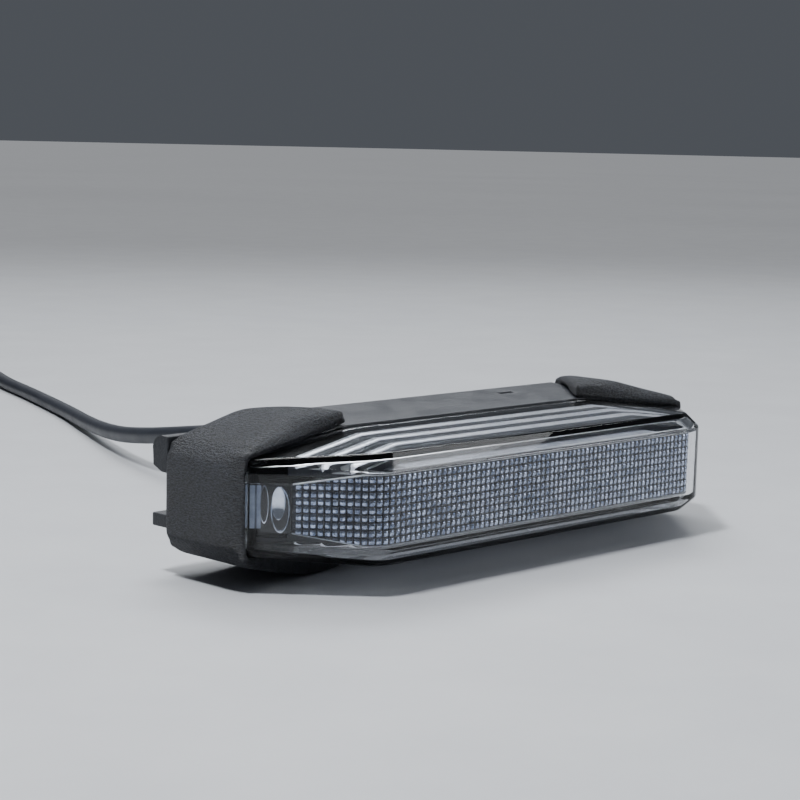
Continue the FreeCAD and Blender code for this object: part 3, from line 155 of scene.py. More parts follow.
def dressed(name, material):
    """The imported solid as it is, with a finish."""
    for place in nodes[name].material_slots:
        place.material = material
    return nodes[name]


def meshed(name, form, sharp):
    """The finished form as a smooth mesh that is sharp where its faces turn by more than some degrees."""
    for face in form.faces:
        face.smooth = True
    mesh = bpy.data.meshes.new(name)
    form.to_mesh(mesh)
    form.free()
    mesh.set_sharp_from_angle(angle=math.radians(sharp))
    return mesh


def settle(name, data, slot, finishes, *replaced):
    """A piece of the light, with its finishes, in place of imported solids."""
    piece = bpy.data.objects.new(name, data)
    bpy.context.scene.collection.objects.link(piece)
    for finish in finishes:
        data.materials.append(finish)
    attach(piece, "root")
    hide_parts(*replaced)
    return piece


FLAT_WITHIN = 0.4
EDGE_STEPS = 3
CRISP_SHARP = 36


def crisp(name, material, slot, round_size, corner=22.0, least=1.2, merge=0.002, first=None):
    """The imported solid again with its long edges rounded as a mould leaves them."""
    form = bmesh.new()
    form.from_mesh(nodes[name].data)
    bmesh.ops.remove_doubles(form, verts=form.verts, dist=merge * MM)
    bmesh.ops.dissolve_limit(form, angle_limit=math.radians(FLAT_WITHIN), verts=form.verts,
                            edges=form.edges)
    if first:
        first(form)
    picked = [edge for edge in form.edges
              if len(edge.link_faces) == 2 and edge.calc_length() > least * MM
              and edge.calc_face_angle() > math.radians(corner)]
    bmesh.ops.bevel(form, geom=picked, offset=round_size * MM, segments=EDGE_STEPS, profile=0.5,
                    affect="EDGES")
    piece = settle(name + "_body", meshed(name + "_form", form, CRISP_SHARP), slot, (material,), name)
    even = piece.modifiers.new("even", "WEIGHTED_NORMAL")
    even.keep_sharp = True
    return piece


satin_case = skinned("satin_case", (0.012, 0.014, 0.019), (0.022, 0.025, 0.032), 3200, (0.36, 0.46),
                     0.00003)
crisp("rear_case", satin_case, "dark_housing", 0.25)


# End caps
# Two nylon mouldings that slide over the ends and clamp the lens under their raised ears. Every outer
# edge is generously rounded, and the mould is spark eroded, so the skin has a grain along the bar.

CAP_VOXEL = 0.4 * MM
EVENING_PASSES = 4
ROUNDING_PASSES = 34
END_ROUNDING_PASSES = 60
OPENING_END = Vector((69.2, 0, 27.0)) * MM
OPENING_INNER = Vector((38.7, 0, 30.4)) * MM
SKIN_DEPTH = 1.1 * MM
FRONT_DEPTH = 2 * MM


def is_outer(spot, middle_up):
    """True on the skin above, below and beyond the opening that holds the lens and the case."""
    share = (OPENING_END.x - abs(spot.x)) / (OPENING_END.x - OPENING_INNER.x)
    opening = OPENING_END.z + (OPENING_INNER.z - OPENING_END.z) * share - middle_up
    return abs(spot.z - middle_up) > opening + SKIN_DEPTH or abs(spot.x) > OPENING_END.x + SKIN_DEPTH


def soft_cap(name, material):
    """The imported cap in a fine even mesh, with its outer edges rubbed round."""
    low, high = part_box(name)
    middle_up = (low.z + high.z) / 2
    solid = bpy.data.objects.new(name + "_solid", nodes[name].data.copy())
    bpy.context.scene.collection.objects.link(solid)
    even = solid.modifiers.new("even", "REMESH")
    even.mode = "VOXEL"
    even.voxel_size = CAP_VOXEL
    mesh = bpy.data.meshes.new_from_object(solid.evaluated_get(bpy.context.evaluated_depsgraph_get()))
    bpy.data.objects.remove(solid)
    form = bmesh.new()
    form.from_mesh(mesh)
    outer = [vert for vert in form.verts if is_outer(vert.co, middle_up)]
    front_edge = [vert for vert in outer
                  if abs(vert.co.x) > OPENING_END.x - SKIN_DEPTH and vert.co.y < FRONT_DEPTH]
    for verts, passes in ((form.verts, EVENING_PASSES), (outer, ROUNDING_PASSES),
                          (front_edge, END_ROUNDING_PASSES)):
        for _ in range(passes):
            bmesh.ops.smooth_vert(form, verts=verts, factor=0.5, use_axis_x=True, use_axis_y=True,
                                  use_axis_z=True)
    for face in form.faces:
        face.smooth = True
    form.to_mesh(mesh)
    form.free()
    mesh.materials.clear()
    settle(name + "_body", mesh, "dark_housing", (material,), name)


grained_cap = skinned("grained_cap", (0.002, 0.0025, 0.004), (0.05, 0.056, 0.072), 1400, (0.46, 0.6), 0.0022,
                      stretch=2.2)
for end in ("left", "right"):
    soft_cap("end_cap_" + end, grained_cap)


# Seal
# A cord of soft black elastomer, laid in the case's groove. The lens's tongue presses it when the caps
# are pushed on.

soft_seal = skinned("soft_seal", (0.016, 0.016, 0.018), (0.03, 0.03, 0.034), 3000, (0.5, 0.65), 0.00001)
dressed("lens_gasket", soft_seal)


# Bracket and what fastens it
# A nylon plate with two rails, screwed to the back of the case. Brass inserts in its bosses take the
# rack's bolts, and all screws are plated steel.

bracket_skin = skinned("bracket_skin", (0.012, 0.013, 0.016), (0.036, 0.039, 0.046), 2200, (0.45, 0.58),
                       0.00012)
crisp("rear_bracket", bracket_skin, "dark_housing", 0.35)
turned_brass = skinned("turned_brass", (0.62, 0.45, 0.2), (0.78, 0.62, 0.33), 2500, (0.22, 0.36), 0.000004,
                       Metallic=1.0)
dressed("mount_inserts", turned_brass)
plated_screw = skinned("plated_screw", (0.42, 0.43, 0.45), (0.6, 0.61, 0.63), 4000, (0.25, 0.4), 0.000003,
                       Metallic=1.0)
for fastener in ("bracket_screws", "cap_screws", "board_screws", "driver_screws"):
    dressed(fastener, plated_screw)


# Gland and vent
# The gland is a soft plug that seals the cord in the back wall. The vent beside it is a pale membrane
# disc that lets the light breathe.

vent_membrane = skinned("vent_membrane", (0.4, 0.42, 0.45), (0.52, 0.54, 0.57), 9000, (0.7, 0.85), 0.00001)
dressed("cable_gland", soft_seal)
dressed("vent_plug", vent_membrane)


# Boards and heat spreader
# The lamp board is screwed through a folded aluminium sheet to the case's posts, over a heat pad.
# The driver board stands behind it with its choke, capacitors, chips and terminal.

bare_sheet = skinned("bare_sheet", (0.58, 0.59, 0.61), (0.7, 0.71, 0.73), 1800, (0.3, 0.45), 0.000004,
                     stretch=0.1, Metallic=1.0)
white_mask = skinned("white_mask", (0.68, 0.7, 0.71), (0.8, 0.81, 0.82), 1200, (0.35, 0.5), 0.000003)
dark_part = skinned("dark_part", (0.02, 0.02, 0.022), (0.04, 0.04, 0.043), 3000, (0.4, 0.55), 0.000005)
grey_pad = skinned("grey_pad", (0.25, 0.26, 0.28), (0.36, 0.37, 0.39), 2500, (0.7, 0.85), 0.00001)
lamp_chip = skinned("lamp_chip", (0.8, 0.72, 0.38), (0.88, 0.82, 0.55), 3000, (0.1, 0.2), 0.000002)
green_mask = skinned("green_mask", (0.02, 0.12, 0.06), (0.04, 0.2, 0.11), 900, (0.3, 0.4), 0.000005)
lead_sleeve = skinned("lead_sleeve", (0.3, 0.02, 0.02), (0.4, 0.05, 0.04), 3000, (0.4, 0.5), 0.000003)
for board_piece, finish in (("heat_spreader", bare_sheet), ("driver_capacitors", bare_sheet),
                            ("thermal_pad", grey_pad), ("lamp_board", white_mask),
                            ("lead_terminal", white_mask), ("lamp_chips", lamp_chip),
                            ("driver_board", green_mask), ("driver_inductor", dark_part),
                            ("driver_chips", dark_part), ("inner_leads", lead_sleeve)):
    dressed(board_piece, finish)


# Reflector tray
# A pale glossy moulding on the lamp board, with a flared cup round each chip. Its upper edge shows
# through the lens's front bevel.

white_tray = skinned("white_tray", (0.44, 0.46, 0.54), (0.6, 0.63, 0.7), 700, (0.16, 0.28), 0.000003)
crisp("reflector", white_tray, "white_reflector", 0.2)


# Side reflectors
# Glossy dark plates behind the outer part of each end facet, each with a metallised oblong cup in a
# longer ring, a narrow dark window with a bright lip, and a satin pad where the plate is clipped,
# which has a faint painted glow.

lens_low, lens_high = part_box("outer_lens")
MIDDLE_UP = (lens_low.z + lens_high.z) / 2
FACE_HALF = 51.3 * MM
FACET = Vector((19.0, 20.0, 0)) * MM
PLATE_DEPTH = 2.75
PLATE_START, PLATE_STOP = 18.5, 24.7
PLATE_HEIGHT = 9.8
PLATE_WALL = 1.2
PAD_START, PAD_STOP = 24.2, 26.8
PAD_LOW, PAD_TOP = -4.2, 4.8
CUP_PLACE, CUP_HALF = (20.9, 1.2), (1.4, 3.4)
RING_PLACE, RING_HALF = (20.6, -0.2), (1.9, 4.7)
WINDOW_PLACE, WINDOW_HALF = (23.75, 0.8), (0.85, 3.9)
PANE_HALF = [0.88 * size for size in WINDOW_HALF]
RING_PROFILE = ((1.0, 0.1), (0.97, -0.12), (0.93, -0.18), (0.88, -0.1), (0.85, 0.1))
CUP_PROFILE = ((1.0, 0.05), (0.98, -0.42), (0.93, -0.55), (0.85, -0.46), (0.68, -0.28), (0.45, -0.14),
               (0.2, -0.07), (0.04, -0.05))
WINDOW_PROFILE = ((1.0, 0.1), (0.97, -0.16), (0.9, -0.2), (0.86, 0.0))
PANE_PROFILE = ((1.0, 0.06), (0.9, -0.22), (0.5, -0.2))
PLATE_EDGE = 0.25
PAD_EDGE = 0.2
PAD_PROUD = 0.08
GLOSS, BRIGHT, PAD_GLOW = 0, 1, 2
ROUND_STEPS = 40
PLATE_SHARP = 40


def facet_frame(side):
    """From millimetres along the facet, up and inwards to the place in the object, on one end."""
    along = FACET.normalized()
    inward = Vector((-along.y, along.x, 0))
    turn = Matrix((along, Vector((0, 0, 1)), inward)).transposed().to_4x4()
    place = Matrix.Translation((FACE_HALF, lens_low.y, MIDDLE_UP)) @ turn @ Matrix.Scale(MM, 4)
    return Matrix.Diagonal((side, 1, 1, 1)) @ place


def rounded_block(form, low, high, round_size, material):
    """A block with rounded edges, in the facet's millimetres."""
    made = bmesh.ops.create_cube(form, size=1)["verts"]
    low, high = Vector(low), Vector(high)
    for vert in made:
        vert.co = (low + high) / 2 + Vector(a * b for a, b in zip(vert.co, high - low))
    for face in {face for vert in made for face in vert.link_faces}:
        face.material_index = material
    edges = list({edge for vert in made for edge in vert.link_edges})
    bmesh.ops.bevel(form, geom=edges, offset=round_size, segments=EDGE_STEPS, profile=0.5, affect="EDGES")


def oblong(form, middle, half, profile, material):
    """A dish or lip: rings of one oblong, each a share of its size and a depth."""
    rings = []
    for share, depth in profile:
        ring = []
        for step in range(ROUND_STEPS):
            angle = 2 * math.pi * step / ROUND_STEPS
            ring.append(form.verts.new((middle[0] + half[0] * share * math.cos(angle),
                                        middle[1] + half[1] * share * math.sin(angle), PLATE_DEPTH + depth)))
        rings.append(ring)
    for ring, next_ring in zip(rings, rings[1:]):
        for step in range(ROUND_STEPS):
            after = (step + 1) % ROUND_STEPS
            face = form.faces.new((ring[step], ring[after], next_ring[after], next_ring[step]))
            face.material_index = material
    form.faces.new(rings[-1]).material_index = material
    form.faces.new(reversed(rings[0])).material_index = material


def side_plate(end, side, finishes):
    form = bmesh.new()
    half, back = PLATE_HEIGHT / 2, PLATE_DEPTH + PLATE_WALL
    rounded_block(form, (PLATE_START, -half, PLATE_DEPTH), (PLATE_STOP, half, back), PLATE_EDGE, GLOSS)
    rounded_block(form, (PAD_START, PAD_LOW, PLATE_DEPTH - PAD_PROUD), (PAD_STOP, PAD_TOP, back), PAD_EDGE,
                  PAD_GLOW)
    oblong(form, RING_PLACE, RING_HALF, RING_PROFILE, BRIGHT)
    oblong(form, CUP_PLACE, CUP_HALF, CUP_PROFILE, BRIGHT)
    oblong(form, WINDOW_PLACE, WINDOW_HALF, WINDOW_PROFILE, BRIGHT)
    oblong(form, WINDOW_PLACE, PANE_HALF, PANE_PROFILE, GLOSS)
    form.transform(facet_frame(side))
    bmesh.ops.recalc_face_normals(form, faces=form.faces)
    settle("side_plate_" + end, meshed("side_plate_form", form, PLATE_SHARP), "bright_reflector", finishes,
           "side_reflector_" + end)


plate_gloss = skinned("plate_gloss", (0.002, 0.003, 0.006), (0.006, 0.008, 0.014), 700, (0.1, 0.2), 0.000004)
bright_metal = skinned("bright_metal", (0.66, 0.72, 0.82), (0.84, 0.89, 0.96), 500, (0.08, 0.16), 0.000004,
                       Metallic=1.0)
# The pad's faint emission is a painted glow.
satin_pad_painted_glow = skinned("satin_pad_painted_glow", (0.16, 0.2, 0.29), (0.26, 0.31, 0.42), 500, (0.3, 0.42), 0.00001,
                    Emission_Color=(0.5, 0.6, 0.8, 1), Emission_Strength=0.07)
for end, side in (("left", -1), ("right", 1)):
    side_plate(end, side, (plate_gloss, bright_metal, satin_pad_painted_glow))


# Grid optic
# A bent strip of clear acrylic right behind the lens, narrower towards both ends. Its face is a quilt
# of small pillows, one and a half millimetres apart, that spreads the chips' light. Unlit, they
# mirror the room, so they are shaded as metal.

PILLOW_ACROSS = 1.45 * MM
PILLOW_UP = 1.54 * MM
PILLOW_DOME = 0.46 * MM
GROOVE_DEPTH = 0.2 * MM
OPTIC_WALL = 1.7 * MM
LENS_TO_OPTIC = 2.3 * MM
OPTIC_HEIGHT = 14.3 * MM
OPTIC_END_HEIGHT = 9.8 * MM
OPTIC_RIM = 0.2 * MM
GAP_ACROSS = 0.7
GAP_UP = 0.78
OPTIC_REACH = 0.66
CORNER_CUT = 3.0 * MM
CORNER_STEPS = 8
GROOVE_POWER = 10
SAME_SPOT = 0.0001 * MM
OPTIC_SHARP = 50
PILLOW, GROOVE, RIM = 0, 1, 2


def optic_way():
    """The strip's front line in plan: tip, rounded corner, rounded corner, tip."""
    along = FACET.normalized()
    inward = Vector((-along.y, along.x, 0))
    turn = math.atan2(FACET.y, FACET.x)
    corner = Vector((FACE_HALF - LENS_TO_OPTIC * math.tan(turn / 2), lens_low.y + LENS_TO_OPTIC, 0))
    radius = CORNER_CUT / math.tan(turn / 2)
    middle = corner + Vector((-CORNER_CUT, radius, 0))
    right = []
    for step in range(CORNER_STEPS + 1):
        angle = turn * step / CORNER_STEPS
        right.append(middle + radius * Vector((math.sin(angle), -math.cos(angle), 0)))
    tip = Vector((FACE_HALF, lens_low.y, 0)) + FACET * OPTIC_REACH + inward * LENS_TO_OPTIC
    right.append(Vector((tip.x, tip.y, 0)))
    left = [Vector((-spot.x, spot.y, 0)) for spot in reversed(right)]
    return left + right


def optic_spot(way, distance):
    """Place on the line and the outward direction there."""
    for start, stop in zip(way, way[1:]):
        run = stop - start
        if distance <= run.length or stop is way[-1]:
            side = run.normalized()
            return start + side * distance, Vector((side.y, -side.x, 0))
        distance -= run.length


def steps_over(length, pitch, gap):
    """Sample places over whole cells centred on a length, with the place inside its cell."""
    count = int(length / pitch)
    first = (length - count * pitch) / 2
    steps = (-1.0, -gap, -gap / 2, 0.0, gap / 2, gap)
    places = [(first + (index + (step + 1) / 2) * pitch, step) for index in range(count) for step in steps]
    return [(0, 1.0)] + places + [(first + count * pitch, 1.0), (length, 1.0)]


def build_optic():
    way = optic_way()
    total = sum((stop - start).length for start, stop in zip(way, way[1:]))
    facet = (way[1] - way[0]).length
    columns = steps_over(total, PILLOW_ACROSS, GAP_ACROSS)
    rows = steps_over(OPTIC_HEIGHT - 2 * OPTIC_RIM, PILLOW_UP, GAP_UP)
    form = bmesh.new()
    grid = []
    for distance, across in columns:
        spot, outward = optic_spot(way, distance)
        share = min(1, min(distance, total - distance) / facet)
        half = (OPTIC_END_HEIGHT + (OPTIC_HEIGHT - OPTIC_END_HEIGHT) * share) / 2
        line = []
        for level, up in rows:
            height = level - (OPTIC_HEIGHT - 2 * OPTIC_RIM) / 2
            limit = half - OPTIC_RIM
            cut = abs(height) > limit
            height = max(-limit, min(limit, height))
            dome = PILLOW_DOME * (across ** 2 + up ** 2) / 2
            groove = GROOVE_DEPTH * max(abs(across), 0 if cut else abs(up)) ** GROOVE_POWER
            place = spot - outward * (dome + groove)
            line.append(form.verts.new((place.x, place.y, MIDDLE_UP + height)))
        edges = []
        for side, behind in ((1, 0), (1, OPTIC_WALL), (-1, OPTIC_WALL), (-1, 0)):
            place = spot - outward * behind
            edges.append(form.verts.new((place.x, place.y, MIDDLE_UP + side * half)))
        grid.append((line, edges))
    flat = []
    for index in range(len(grid) - 1):
        (line, edges), (next_line, next_edges) = grid[index], grid[index + 1]
        for row in range(len(line) - 1):
            corners = [line[row], next_line[row], next_line[row + 1], line[row + 1]]
            if (corners[0].co - corners[3].co).length < SAME_SPOT:
                continue
            face = form.faces.new(corners)
            # Faces in the grooves between pillows take a near black finish that is painted shade.
            deep = min(abs(columns[index][1]), abs(columns[index + 1][1])) >= GAP_ACROSS
            low = min(abs(rows[row][1]), abs(rows[row + 1][1])) >= GAP_UP
            face.material_index = GROOVE if deep or low else PILLOW
        flat.append(form.faces.new([next_line[-1], line[-1], edges[0], next_edges[0]]))
        flat.append(form.faces.new([line[0], next_line[0], next_edges[3], edges[3]]))
        for corner in range(3):
            flat.append(form.faces.new([edges[corner], edges[corner + 1], next_edges[corner + 1],
                                        next_edges[corner]]))
    for (line, edges), turn in ((grid[0], 1), (grid[-1], -1)):
        ring = (edges[3:] + line + edges[:3])[::turn]
        flat.append(form.faces.new(ring))
    # The flat rims, back and ends take a near white finish that is a painted highlight.
    for face in flat:
        face.material_index = RIM
    bmesh.ops.remove_doubles(form, verts=form.verts, dist=SAME_SPOT)
    bmesh.ops.recalc_face_normals(form, faces=form.faces)
    return meshed("optic_form", form, OPTIC_SHARP)


pillow = skinned("optic_pillow", (0.08, 0.11, 0.19), (0.62, 0.69, 0.86), 800, (0.08, 0.16), 0.000004,
                 Metallic=0.95)
# The grooves' near black is painted shade on what is clear acrylic.
groove_painted_shade = skinned("optic_groove_painted_shade", (0.002, 0.004, 0.012), (0.008, 0.011, 0.024), 900, (0.3, 0.4), 0.000004)
# The rims' near white is a painted highlight on clear acrylic.
optic_edge_painted_highlight = skinned("optic_edge_painted_highlight", (0.8, 0.85, 0.92), (0.95, 0.97, 1.0), 900, (0.08, 0.16), 0.000002)
settle("pillow_optic", build_optic(), "clear_optic", (pillow, groove_painted_shade, optic_edge_painted_highlight), "grid_optic")


# Light guides
# Acrylic bars with three half round ribs each, on a carrier strip. The ribs' white crests have a painted
# glow, and their flanks and the carrier are a near black painted shade. One bar lies over the reflector
# and one under it, inside the lens's sloping top and bottom, and their ends bend forward and towards
# the optic.

GUIDE_RIBS = 3
GUIDE_RISE = 1.1 * MM
GUIDE_BASE = 1.4 * MM
GUIDE_SLOPE = 0.0826
RIB_SHARE = 0.62
RIB_STEPS = 16
RIB_FLANK_STEPS = 4
END_STEPS = 8
RIB_REACH = (52 * MM, 56 * MM, 59 * MM)
END_FALL = Vector((29.4, -6.0, -3.3)).normalized()
TIP_SHARE = 0.02
CREST_GLOW, PAINTED_SHADE = 0, 1
GUIDE_SHARP = 40


def guide_line(middle, crest, bend, reach):
    """Four corners of one rib's crest line: end, bend, bend, end."""
    run = (reach - bend) / END_FALL.x
    right = [Vector((bend, middle, crest)), Vector((bend, middle, crest)) + END_FALL * run]
    left = [Vector((-spot.x, spot.y, spot.z)) for spot in reversed(right)]
    return left + right


def rib(form, line, half_width):
    """One half round bar along its line, with rounded ends."""
    turns = [math.pi / 2 * index / END_STEPS for index in range(END_STEPS + 1)]
    first, last = (line[1] - line[0]).normalized(), (line[3] - line[2]).normalized()
    places = [(line[0] + first * half_width * (1 - math.cos(turn)), max(math.sin(turn), TIP_SHARE))
              for turn in turns]
    places += [(line[1], 1.0), (line[2], 1.0)]
    places += [(line[3] - last * half_width * (1 - math.cos(turn)), max(math.sin(turn), TIP_SHARE))
               for turn in reversed(turns)]
    rows = []
    for spot, share in places:
        row = []
        for step in range(RIB_STEPS + 1):
            angle = math.pi * step / RIB_STEPS
            across = -math.cos(angle) * half_width * share
            lift = math.sin(angle) * GUIDE_RISE * share - GUIDE_RISE + GUIDE_SLOPE * across
            row.append(form.verts.new(spot + Vector((0, across, lift))))
        rows.append(row)
    for row, next_row in zip(rows, rows[1:]):
        for step in range(RIB_STEPS):
            face = form.faces.new((row[step], row[step + 1], next_row[step + 1], next_row[step]))
            # Crest faces take the painted glow, flank faces the near black painted shade.
            face.material_index = CREST_GLOW if RIB_FLANK_STEPS <= step < RIB_STEPS - RIB_FLANK_STEPS else PAINTED_SHADE
        form.faces.new((row[-1], row[0], next_row[0], next_row[-1])).material_index = PAINTED_SHADE
    for row in (rows[0], rows[-1]):
        form.faces.new(row).material_index = PAINTED_SHADE


def carrier(form, lines, margin):
    """The slanted strip under the ribs, bent with them."""
    upper = []
    for front, back in zip(lines[0], lines[-1]):
        for spot, side in ((front, -1), (back, 1)):
            upper.append(spot + Vector((0, side * margin, side * margin * GUIDE_SLOPE - GUIDE_RISE)))
    lower = [form.verts.new(spot - Vector((0, 0, GUIDE_BASE))) for spot in upper]
    upper = [form.verts.new(spot) for spot in upper]
    for index in range(0, len(upper) - 2, 2):
        a, b, c, d = index, index + 1, index + 3, index + 2
        for ring in ((upper[a], upper[b], upper[c], upper[d]), (lower[d], lower[c], lower[b], lower[a]),
                     (upper[a], upper[d], lower[d], lower[a]), (upper[c], upper[b], lower[b], lower[c])):
            form.faces.new(ring).material_index = PAINTED_SHADE
    for a, b in ((0, 1), (len(upper) - 2, len(upper) - 1)):
        form.faces.new((upper[a], lower[a], lower[b], upper[b])).material_index = PAINTED_SHADE


def light_guide(side, finishes):
    name = "light_guide_" + side
    low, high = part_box("light_guide_upper")
    pitch = (high.y - low.y) / GUIDE_RIBS
    last_middle = high.y - pitch / 2
    lines = []
    for index, reach in enumerate(RIB_REACH):
        middle = low.y + (index + 0.5) * pitch
        lines.append(guide_line(middle, high.z - GUIDE_SLOPE * (last_middle - middle), high.x, reach))
    form = bmesh.new()
    for line in lines:
        rib(form, line, pitch / 2 * RIB_SHARE)
    carrier(form, lines, pitch / 2)
    if side == "lower":
        for vert in form.verts:
            vert.co.z = 2 * MIDDLE_UP - vert.co.z
    bmesh.ops.recalc_face_normals(form, faces=form.faces)
    settle(name + "_bars", meshed(name + "_form", form, GUIDE_SHARP), "clear_optic", finishes, name)


# The ribs' emission is a painted glow, standing in for the light that they reflect.
rib_painted_glow = skinned("rib_painted_glow", (0.84, 0.87, 0.95), (0.95, 0.97, 1.0), 300, (0.2, 0.3), 0.000004,
                      Metallic=0.6, Emission_Color=(0.86, 0.9, 1.0, 1), Emission_Strength=0.4)
# The carrier's near black, also on the ribs' flanks and ends, is painted shade between the ribs.
carrier_painted_shade = skinned("carrier_painted_shade", (0.004, 0.006, 0.012), (0.01, 0.013, 0.022), 900, (0.3, 0.4), 0.000004)
for side in ("upper", "lower"):
    light_guide(side, (rib_painted_glow, carrier_painted_shade))


# Outer lens
# One clear polycarbonate moulding with flat polished facets. Its corners are rounded a little, which
# draws bright lines along every facet's edge. Its index is set low, so that reflections of the
# surround don't veil the optic.

CREASE_INNER = 36 * MM
CREASE_OUTER = 52 * MM
CREASE_REACH = 14 * MM
CREASE_TURN = 4


def turn_corners(form):
    """Rounds the creases where the front and top meet the end facets, inside and out."""
    creases = []
    for edge in form.edges:
        reach = [abs(vert.co.x) for vert in edge.verts]
        across = abs(edge.verts[0].co.x - edge.verts[1].co.x)
        near_corner = CREASE_INNER < min(reach) and max(reach) < CREASE_OUTER and across < CREASE_REACH
        if near_corner and len(edge.link_faces) == 2 and edge.calc_face_angle() > math.radians(CREASE_TURN):
            creases.append(edge)
    bmesh.ops.bevel(form, geom=creases, offset=CORNER_CUT, segments=CORNER_STEPS, profile=0.5, affect="EDGES")


clear_lens = skinned("clear_lens", (0.94, 0.97, 1.0), (1, 1, 1), 90, (0.0, 0.015), 0.000015,
                     Transmission_Weight=1, IOR=1.34)
crisp("outer_lens", clear_lens, "clear_lens", 0.35, corner=9, least=0.3, merge=0.3, first=turn_corners)


# Cord
# A round four and a half millimetre cable with a dark slate sheath. It leaves the gland straight,
# sinks to the ground under its weight, and its spare length is wound up, tied and ends in a plug.

CORD_WIDTH = 4.5 * MM
ROUTE = [(0, 40.5, 17.5), (0, 60.5, 17.5), (0.9, 83, 15.9), (3.5, 106, 12.3), (8.5, 130, 8.6), (18, 155, 5.4),
         (32, 186, 3.3), (46, 216, 2.4), (57, 245, 2.3), (66, 270, 2.3), (73, 292, 2.4), (82.8, 316.1, 3.2)]
COIL_MIDDLE = Vector((52.8, 344.6, 0))
COIL_RADIUS = 30.0
COIL_PITCH = 5.0
COIL_TURNS = 2
CLIMB_TURNS = 0.5
COIL_TAIL = 0.3
TAIL_SPREAD = 14.0
COIL_LOW = 3.2
PLUG_HEIGHT = 4.0
POINTS_PER_TURN = 20


def eased(share):
    return share ** 2 * (3 - 2 * share)


def coil_spot(turns):
    """Middle of the cord after so many turns: in along the ground, out one layer up, then the tail."""
    last = 2 * COIL_TURNS
    radius = COIL_RADIUS - COIL_PITCH * (COIL_TURNS - abs(min(turns, last) - COIL_TURNS))
    height = COIL_LOW + COIL_PITCH * eased(min(max((turns - COIL_TURNS) / CLIMB_TURNS + 0.5, 0), 1))
    if turns > last:
        share = (turns - last) / COIL_TAIL
        radius += TAIL_SPREAD * share ** 2
        height += (PLUG_HEIGHT - height) * eased(max(2 * share - 1, 0))
    angle = 2 * math.pi * turns
    return COIL_MIDDLE + Vector((radius * math.cos(angle), radius * math.sin(angle), height))


def cord_points():
    points = [Vector(spot) for spot in ROUTE] + [coil_spot(0) - Vector((0, CORD_WIDTH / MM, 0))]
    count = int((2 * COIL_TURNS + COIL_TAIL) * POINTS_PER_TURN)
    points += [coil_spot(index / POINTS_PER_TURN) for index in range(count + 1)]
    points.append(points[-1] + (points[-1] - points[-2]).normalized() * (CORD_WIDTH / MM))
    return [spot * MM for spot in points]


cord_line = bpy.data.curves.new("cord_line", "CURVE")
cord_line.dimensions = "3D"
cord_line.bevel_depth = CORD_WIDTH / 2
cord_line.bevel_resolution = 5
cord_line.use_fill_caps = True
spline = cord_line.splines.new("NURBS")
route = cord_points()
spline.points.add(len(route) - 1)
for point, spot in zip(spline.points, route):
    point.co = (*spot, 1)
spline.order_u = 3
spline.use_endpoint_u = True
spline.resolution_u = 6
cord_sheath = skinned("cord_sheath", (0.012, 0.014, 0.020), (0.022, 0.026, 0.035), 2600, (0.38, 0.5), 0.00002)
cord = settle("cable", cord_line, "cord_sheath", (cord_sheath,), "cord", "cord_coil")

boot = crisp("strain_relief", soft_seal, "soft_seal", 0.15, least=9)
plug_moulding = skinned("plug_moulding", (0.03, 0.03, 0.034), (0.05, 0.05, 0.056), 2600, (0.42, 0.55),
                        0.00002)
plug = crisp("connector", plug_moulding, "plug_moulding", 0.15, least=9)
pins = dressed("connector_pins", turned_brass)

TIE_WALL = 1.0 * MM
TIE_LAP = 0.8 * MM
TIE_CORNER = 3.0 * MM
TIE_EDGE = 0.25 * MM
TIE_STEPS = 8
TIE_LAP_STOP = 14


def tie_loop(low, high, growth):
    """A round cornered loop round the windings, grown outwards by some amount."""
    points = []
    for quarter, (across, up) in enumerate(((1, 1), (-1, 1), (-1, -1), (1, -1))):
        middle_across = (high.y if across > 0 else low.y) - across * TIE_CORNER
        middle_up = (high.z if up > 0 else low.z) - up * TIE_CORNER
        for step in range(TIE_STEPS + 1):
            turn = math.pi / 2 * (quarter + step / TIE_STEPS)
            points.append(Vector((0, middle_across + (TIE_CORNER + growth) * math.cos(turn),
                                  middle_up + (TIE_CORNER + growth) * math.sin(turn))))
    return points


def tie_layer(form, inner_line, outer_line, left, right, closed):
    """One layer of the flat band between two lines, with softened edges."""
    side = Vector((TIE_EDGE, 0, 0))
    rings = []
    for inner, outer in zip(inner_line, outer_line):
        edge = (outer - inner).normalized() * TIE_EDGE
        places = (left + side + inner, right - side + inner, right + inner + edge, right + outer - edge,
                  right - side + outer, left + side + outer, left + outer - edge, left + inner + edge)
        rings.append([form.verts.new(place) for place in places])
    if closed:
        rings.append(rings[0])
    else:
        form.faces.new(rings[0])
        form.faces.new(rings[-1])
    for ring, next_ring in zip(rings, rings[1:]):
        for index in range(len(ring)):
            after = (index + 1) % len(ring)
            form.faces.new((ring[index], ring[after], next_ring[after], next_ring[index]))


def build_tie():
    low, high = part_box("cord_tie")
    left, right = Vector((low.x, 0, 0)), Vector((high.x, 0, 0))
    inner, outer, lap = (tie_loop(low, high, growth) for growth in (-TIE_WALL, 0, TIE_LAP))
    form = bmesh.new()
    tie_layer(form, inner, outer, left, right, True)
    tie_layer(form, outer[:TIE_LAP_STOP], lap[:TIE_LAP_STOP], left, right, False)
    bmesh.ops.recalc_face_normals(form, faces=form.faces)
    mesh = bpy.data.meshes.new("tie_form")
    form.to_mesh(mesh)
    form.free()
    return mesh


tie_strap = skinned("tie_strap", (0.02, 0.02, 0.022), (0.06, 0.06, 0.065), 2400, (0.8, 0.95), 0.00012)
strap = settle("tie_band", build_tie(), "tie_strap", (tie_strap,), "cord_tie")


# Studio
# A pale floor under one wide soft light and an even dim surround. Four small soft lights help: one high
# behind draws the ribs, two in front brighten the bevel and the pillows, and one rakes over the end cap.

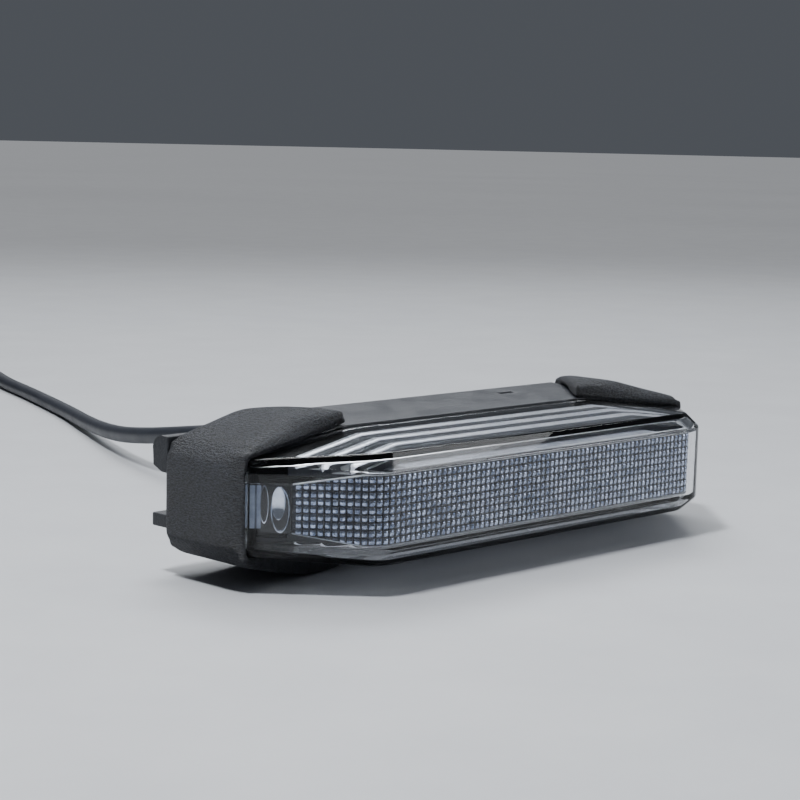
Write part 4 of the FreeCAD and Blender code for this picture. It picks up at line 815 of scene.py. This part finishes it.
FLOOR_HALF = 60
floor_mesh = bpy.data.meshes.new("floor_form")
floor_form = bmesh.new()
bmesh.ops.create_grid(floor_form, x_segments=1, y_segments=1, size=FLOOR_HALF)
floor_form.to_mesh(floor_mesh)
floor_form.free()
floor = bpy.data.objects.new("floor", floor_mesh)
bpy.context.scene.collection.objects.link(floor)
pale_floor = skinned("pale_floor", (0.43, 0.44, 0.46), (0.46, 0.472, 0.49), 30, (0.55, 0.65), 0.00001)
floor.data.materials.append(pale_floor)

world = bpy.data.worlds.new("studio")
bpy.context.scene.world = world
world.use_nodes = True
world.node_tree.nodes["Background"].inputs["Color"].default_value = (0.58, 0.63, 0.72, 1)
world.node_tree.nodes["Background"].inputs["Strength"].default_value = 0.14

LIGHT_AIM = Vector((0, 0, 0.017))


def aimed(name, lamp, place, aim):
    """A lamp at a place, turned to shine at a spot."""
    holder = bpy.data.objects.new(name, lamp)
    bpy.context.scene.collection.objects.link(holder)
    holder.location = place
    holder.rotation_mode = "QUATERNION"
    holder.rotation_quaternion = (Vector(aim) - Vector(place)).to_track_quat("-Z", "Y")


def soft_light(name, place, width, height, power, colour=(1, 1, 1)):
    lamp = bpy.data.lights.new(name, "AREA")
    lamp.shape = "RECTANGLE"
    lamp.size = width
    lamp.size_y = height
    lamp.energy = power
    lamp.color = colour
    aimed(name, lamp, place, LIGHT_AIM)


sky = bpy.data.lights.new("wide_soft", "SUN")
sky.energy = 1.9
sky.angle = math.radians(50)
aimed("wide_soft", sky, (0.3, 0.6, 1.4), (0, 0, 0))
soft_light("high_behind", (0.42, 0.46, 0.66), 0.6, 0.25, 4, (0.92, 0.96, 1))
soft_light("bevel_strip", (0.75, -0.18, 0.74), 0.5, 0.16, 0.8, (0.95, 0.97, 1))
soft_light("front_panel", (0.66, -0.7, 0.36), 0.5, 0.36, 2, (0.95, 0.97, 1))
soft_light("end_rake", (-0.23, 0.0, 0.62), 0.08, 0.08, 5, (0.95, 0.97, 1))


# Camera
# Placed where the photograph was taken, low and half way round to the left end, looking a little down
# and rolled by about a degree.

CAMERA_PLACE = Vector((-0.31768, -0.29211, 0.08812))
CAMERA_YAW = math.radians(45.21)
CAMERA_PITCH = math.radians(7.34)
CAMERA_ROLL = math.radians(1.25)
ahead = Vector((math.sin(CAMERA_YAW) * math.cos(CAMERA_PITCH), math.cos(CAMERA_YAW) * math.cos(CAMERA_PITCH),
                -math.sin(CAMERA_PITCH)))
level = Vector((math.cos(CAMERA_YAW), -math.sin(CAMERA_YAW), 0))
upward = level.cross(ahead)
right = level * math.cos(CAMERA_ROLL) + upward * math.sin(CAMERA_ROLL)
top = upward * math.cos(CAMERA_ROLL) - level * math.sin(CAMERA_ROLL)
camera = bpy.data.objects.new("camera", bpy.data.cameras.new("camera"))
bpy.context.scene.collection.objects.link(camera)
camera.data.sensor_width = 36
camera.data.lens = 88.47
camera.data.clip_start = 0.01
camera.matrix_world = Matrix.Translation(CAMERA_PLACE) @ Matrix((right, top, -ahead)).transposed().to_4x4()
bpy.context.scene.camera = camera

bpy.context.view_layer.update()
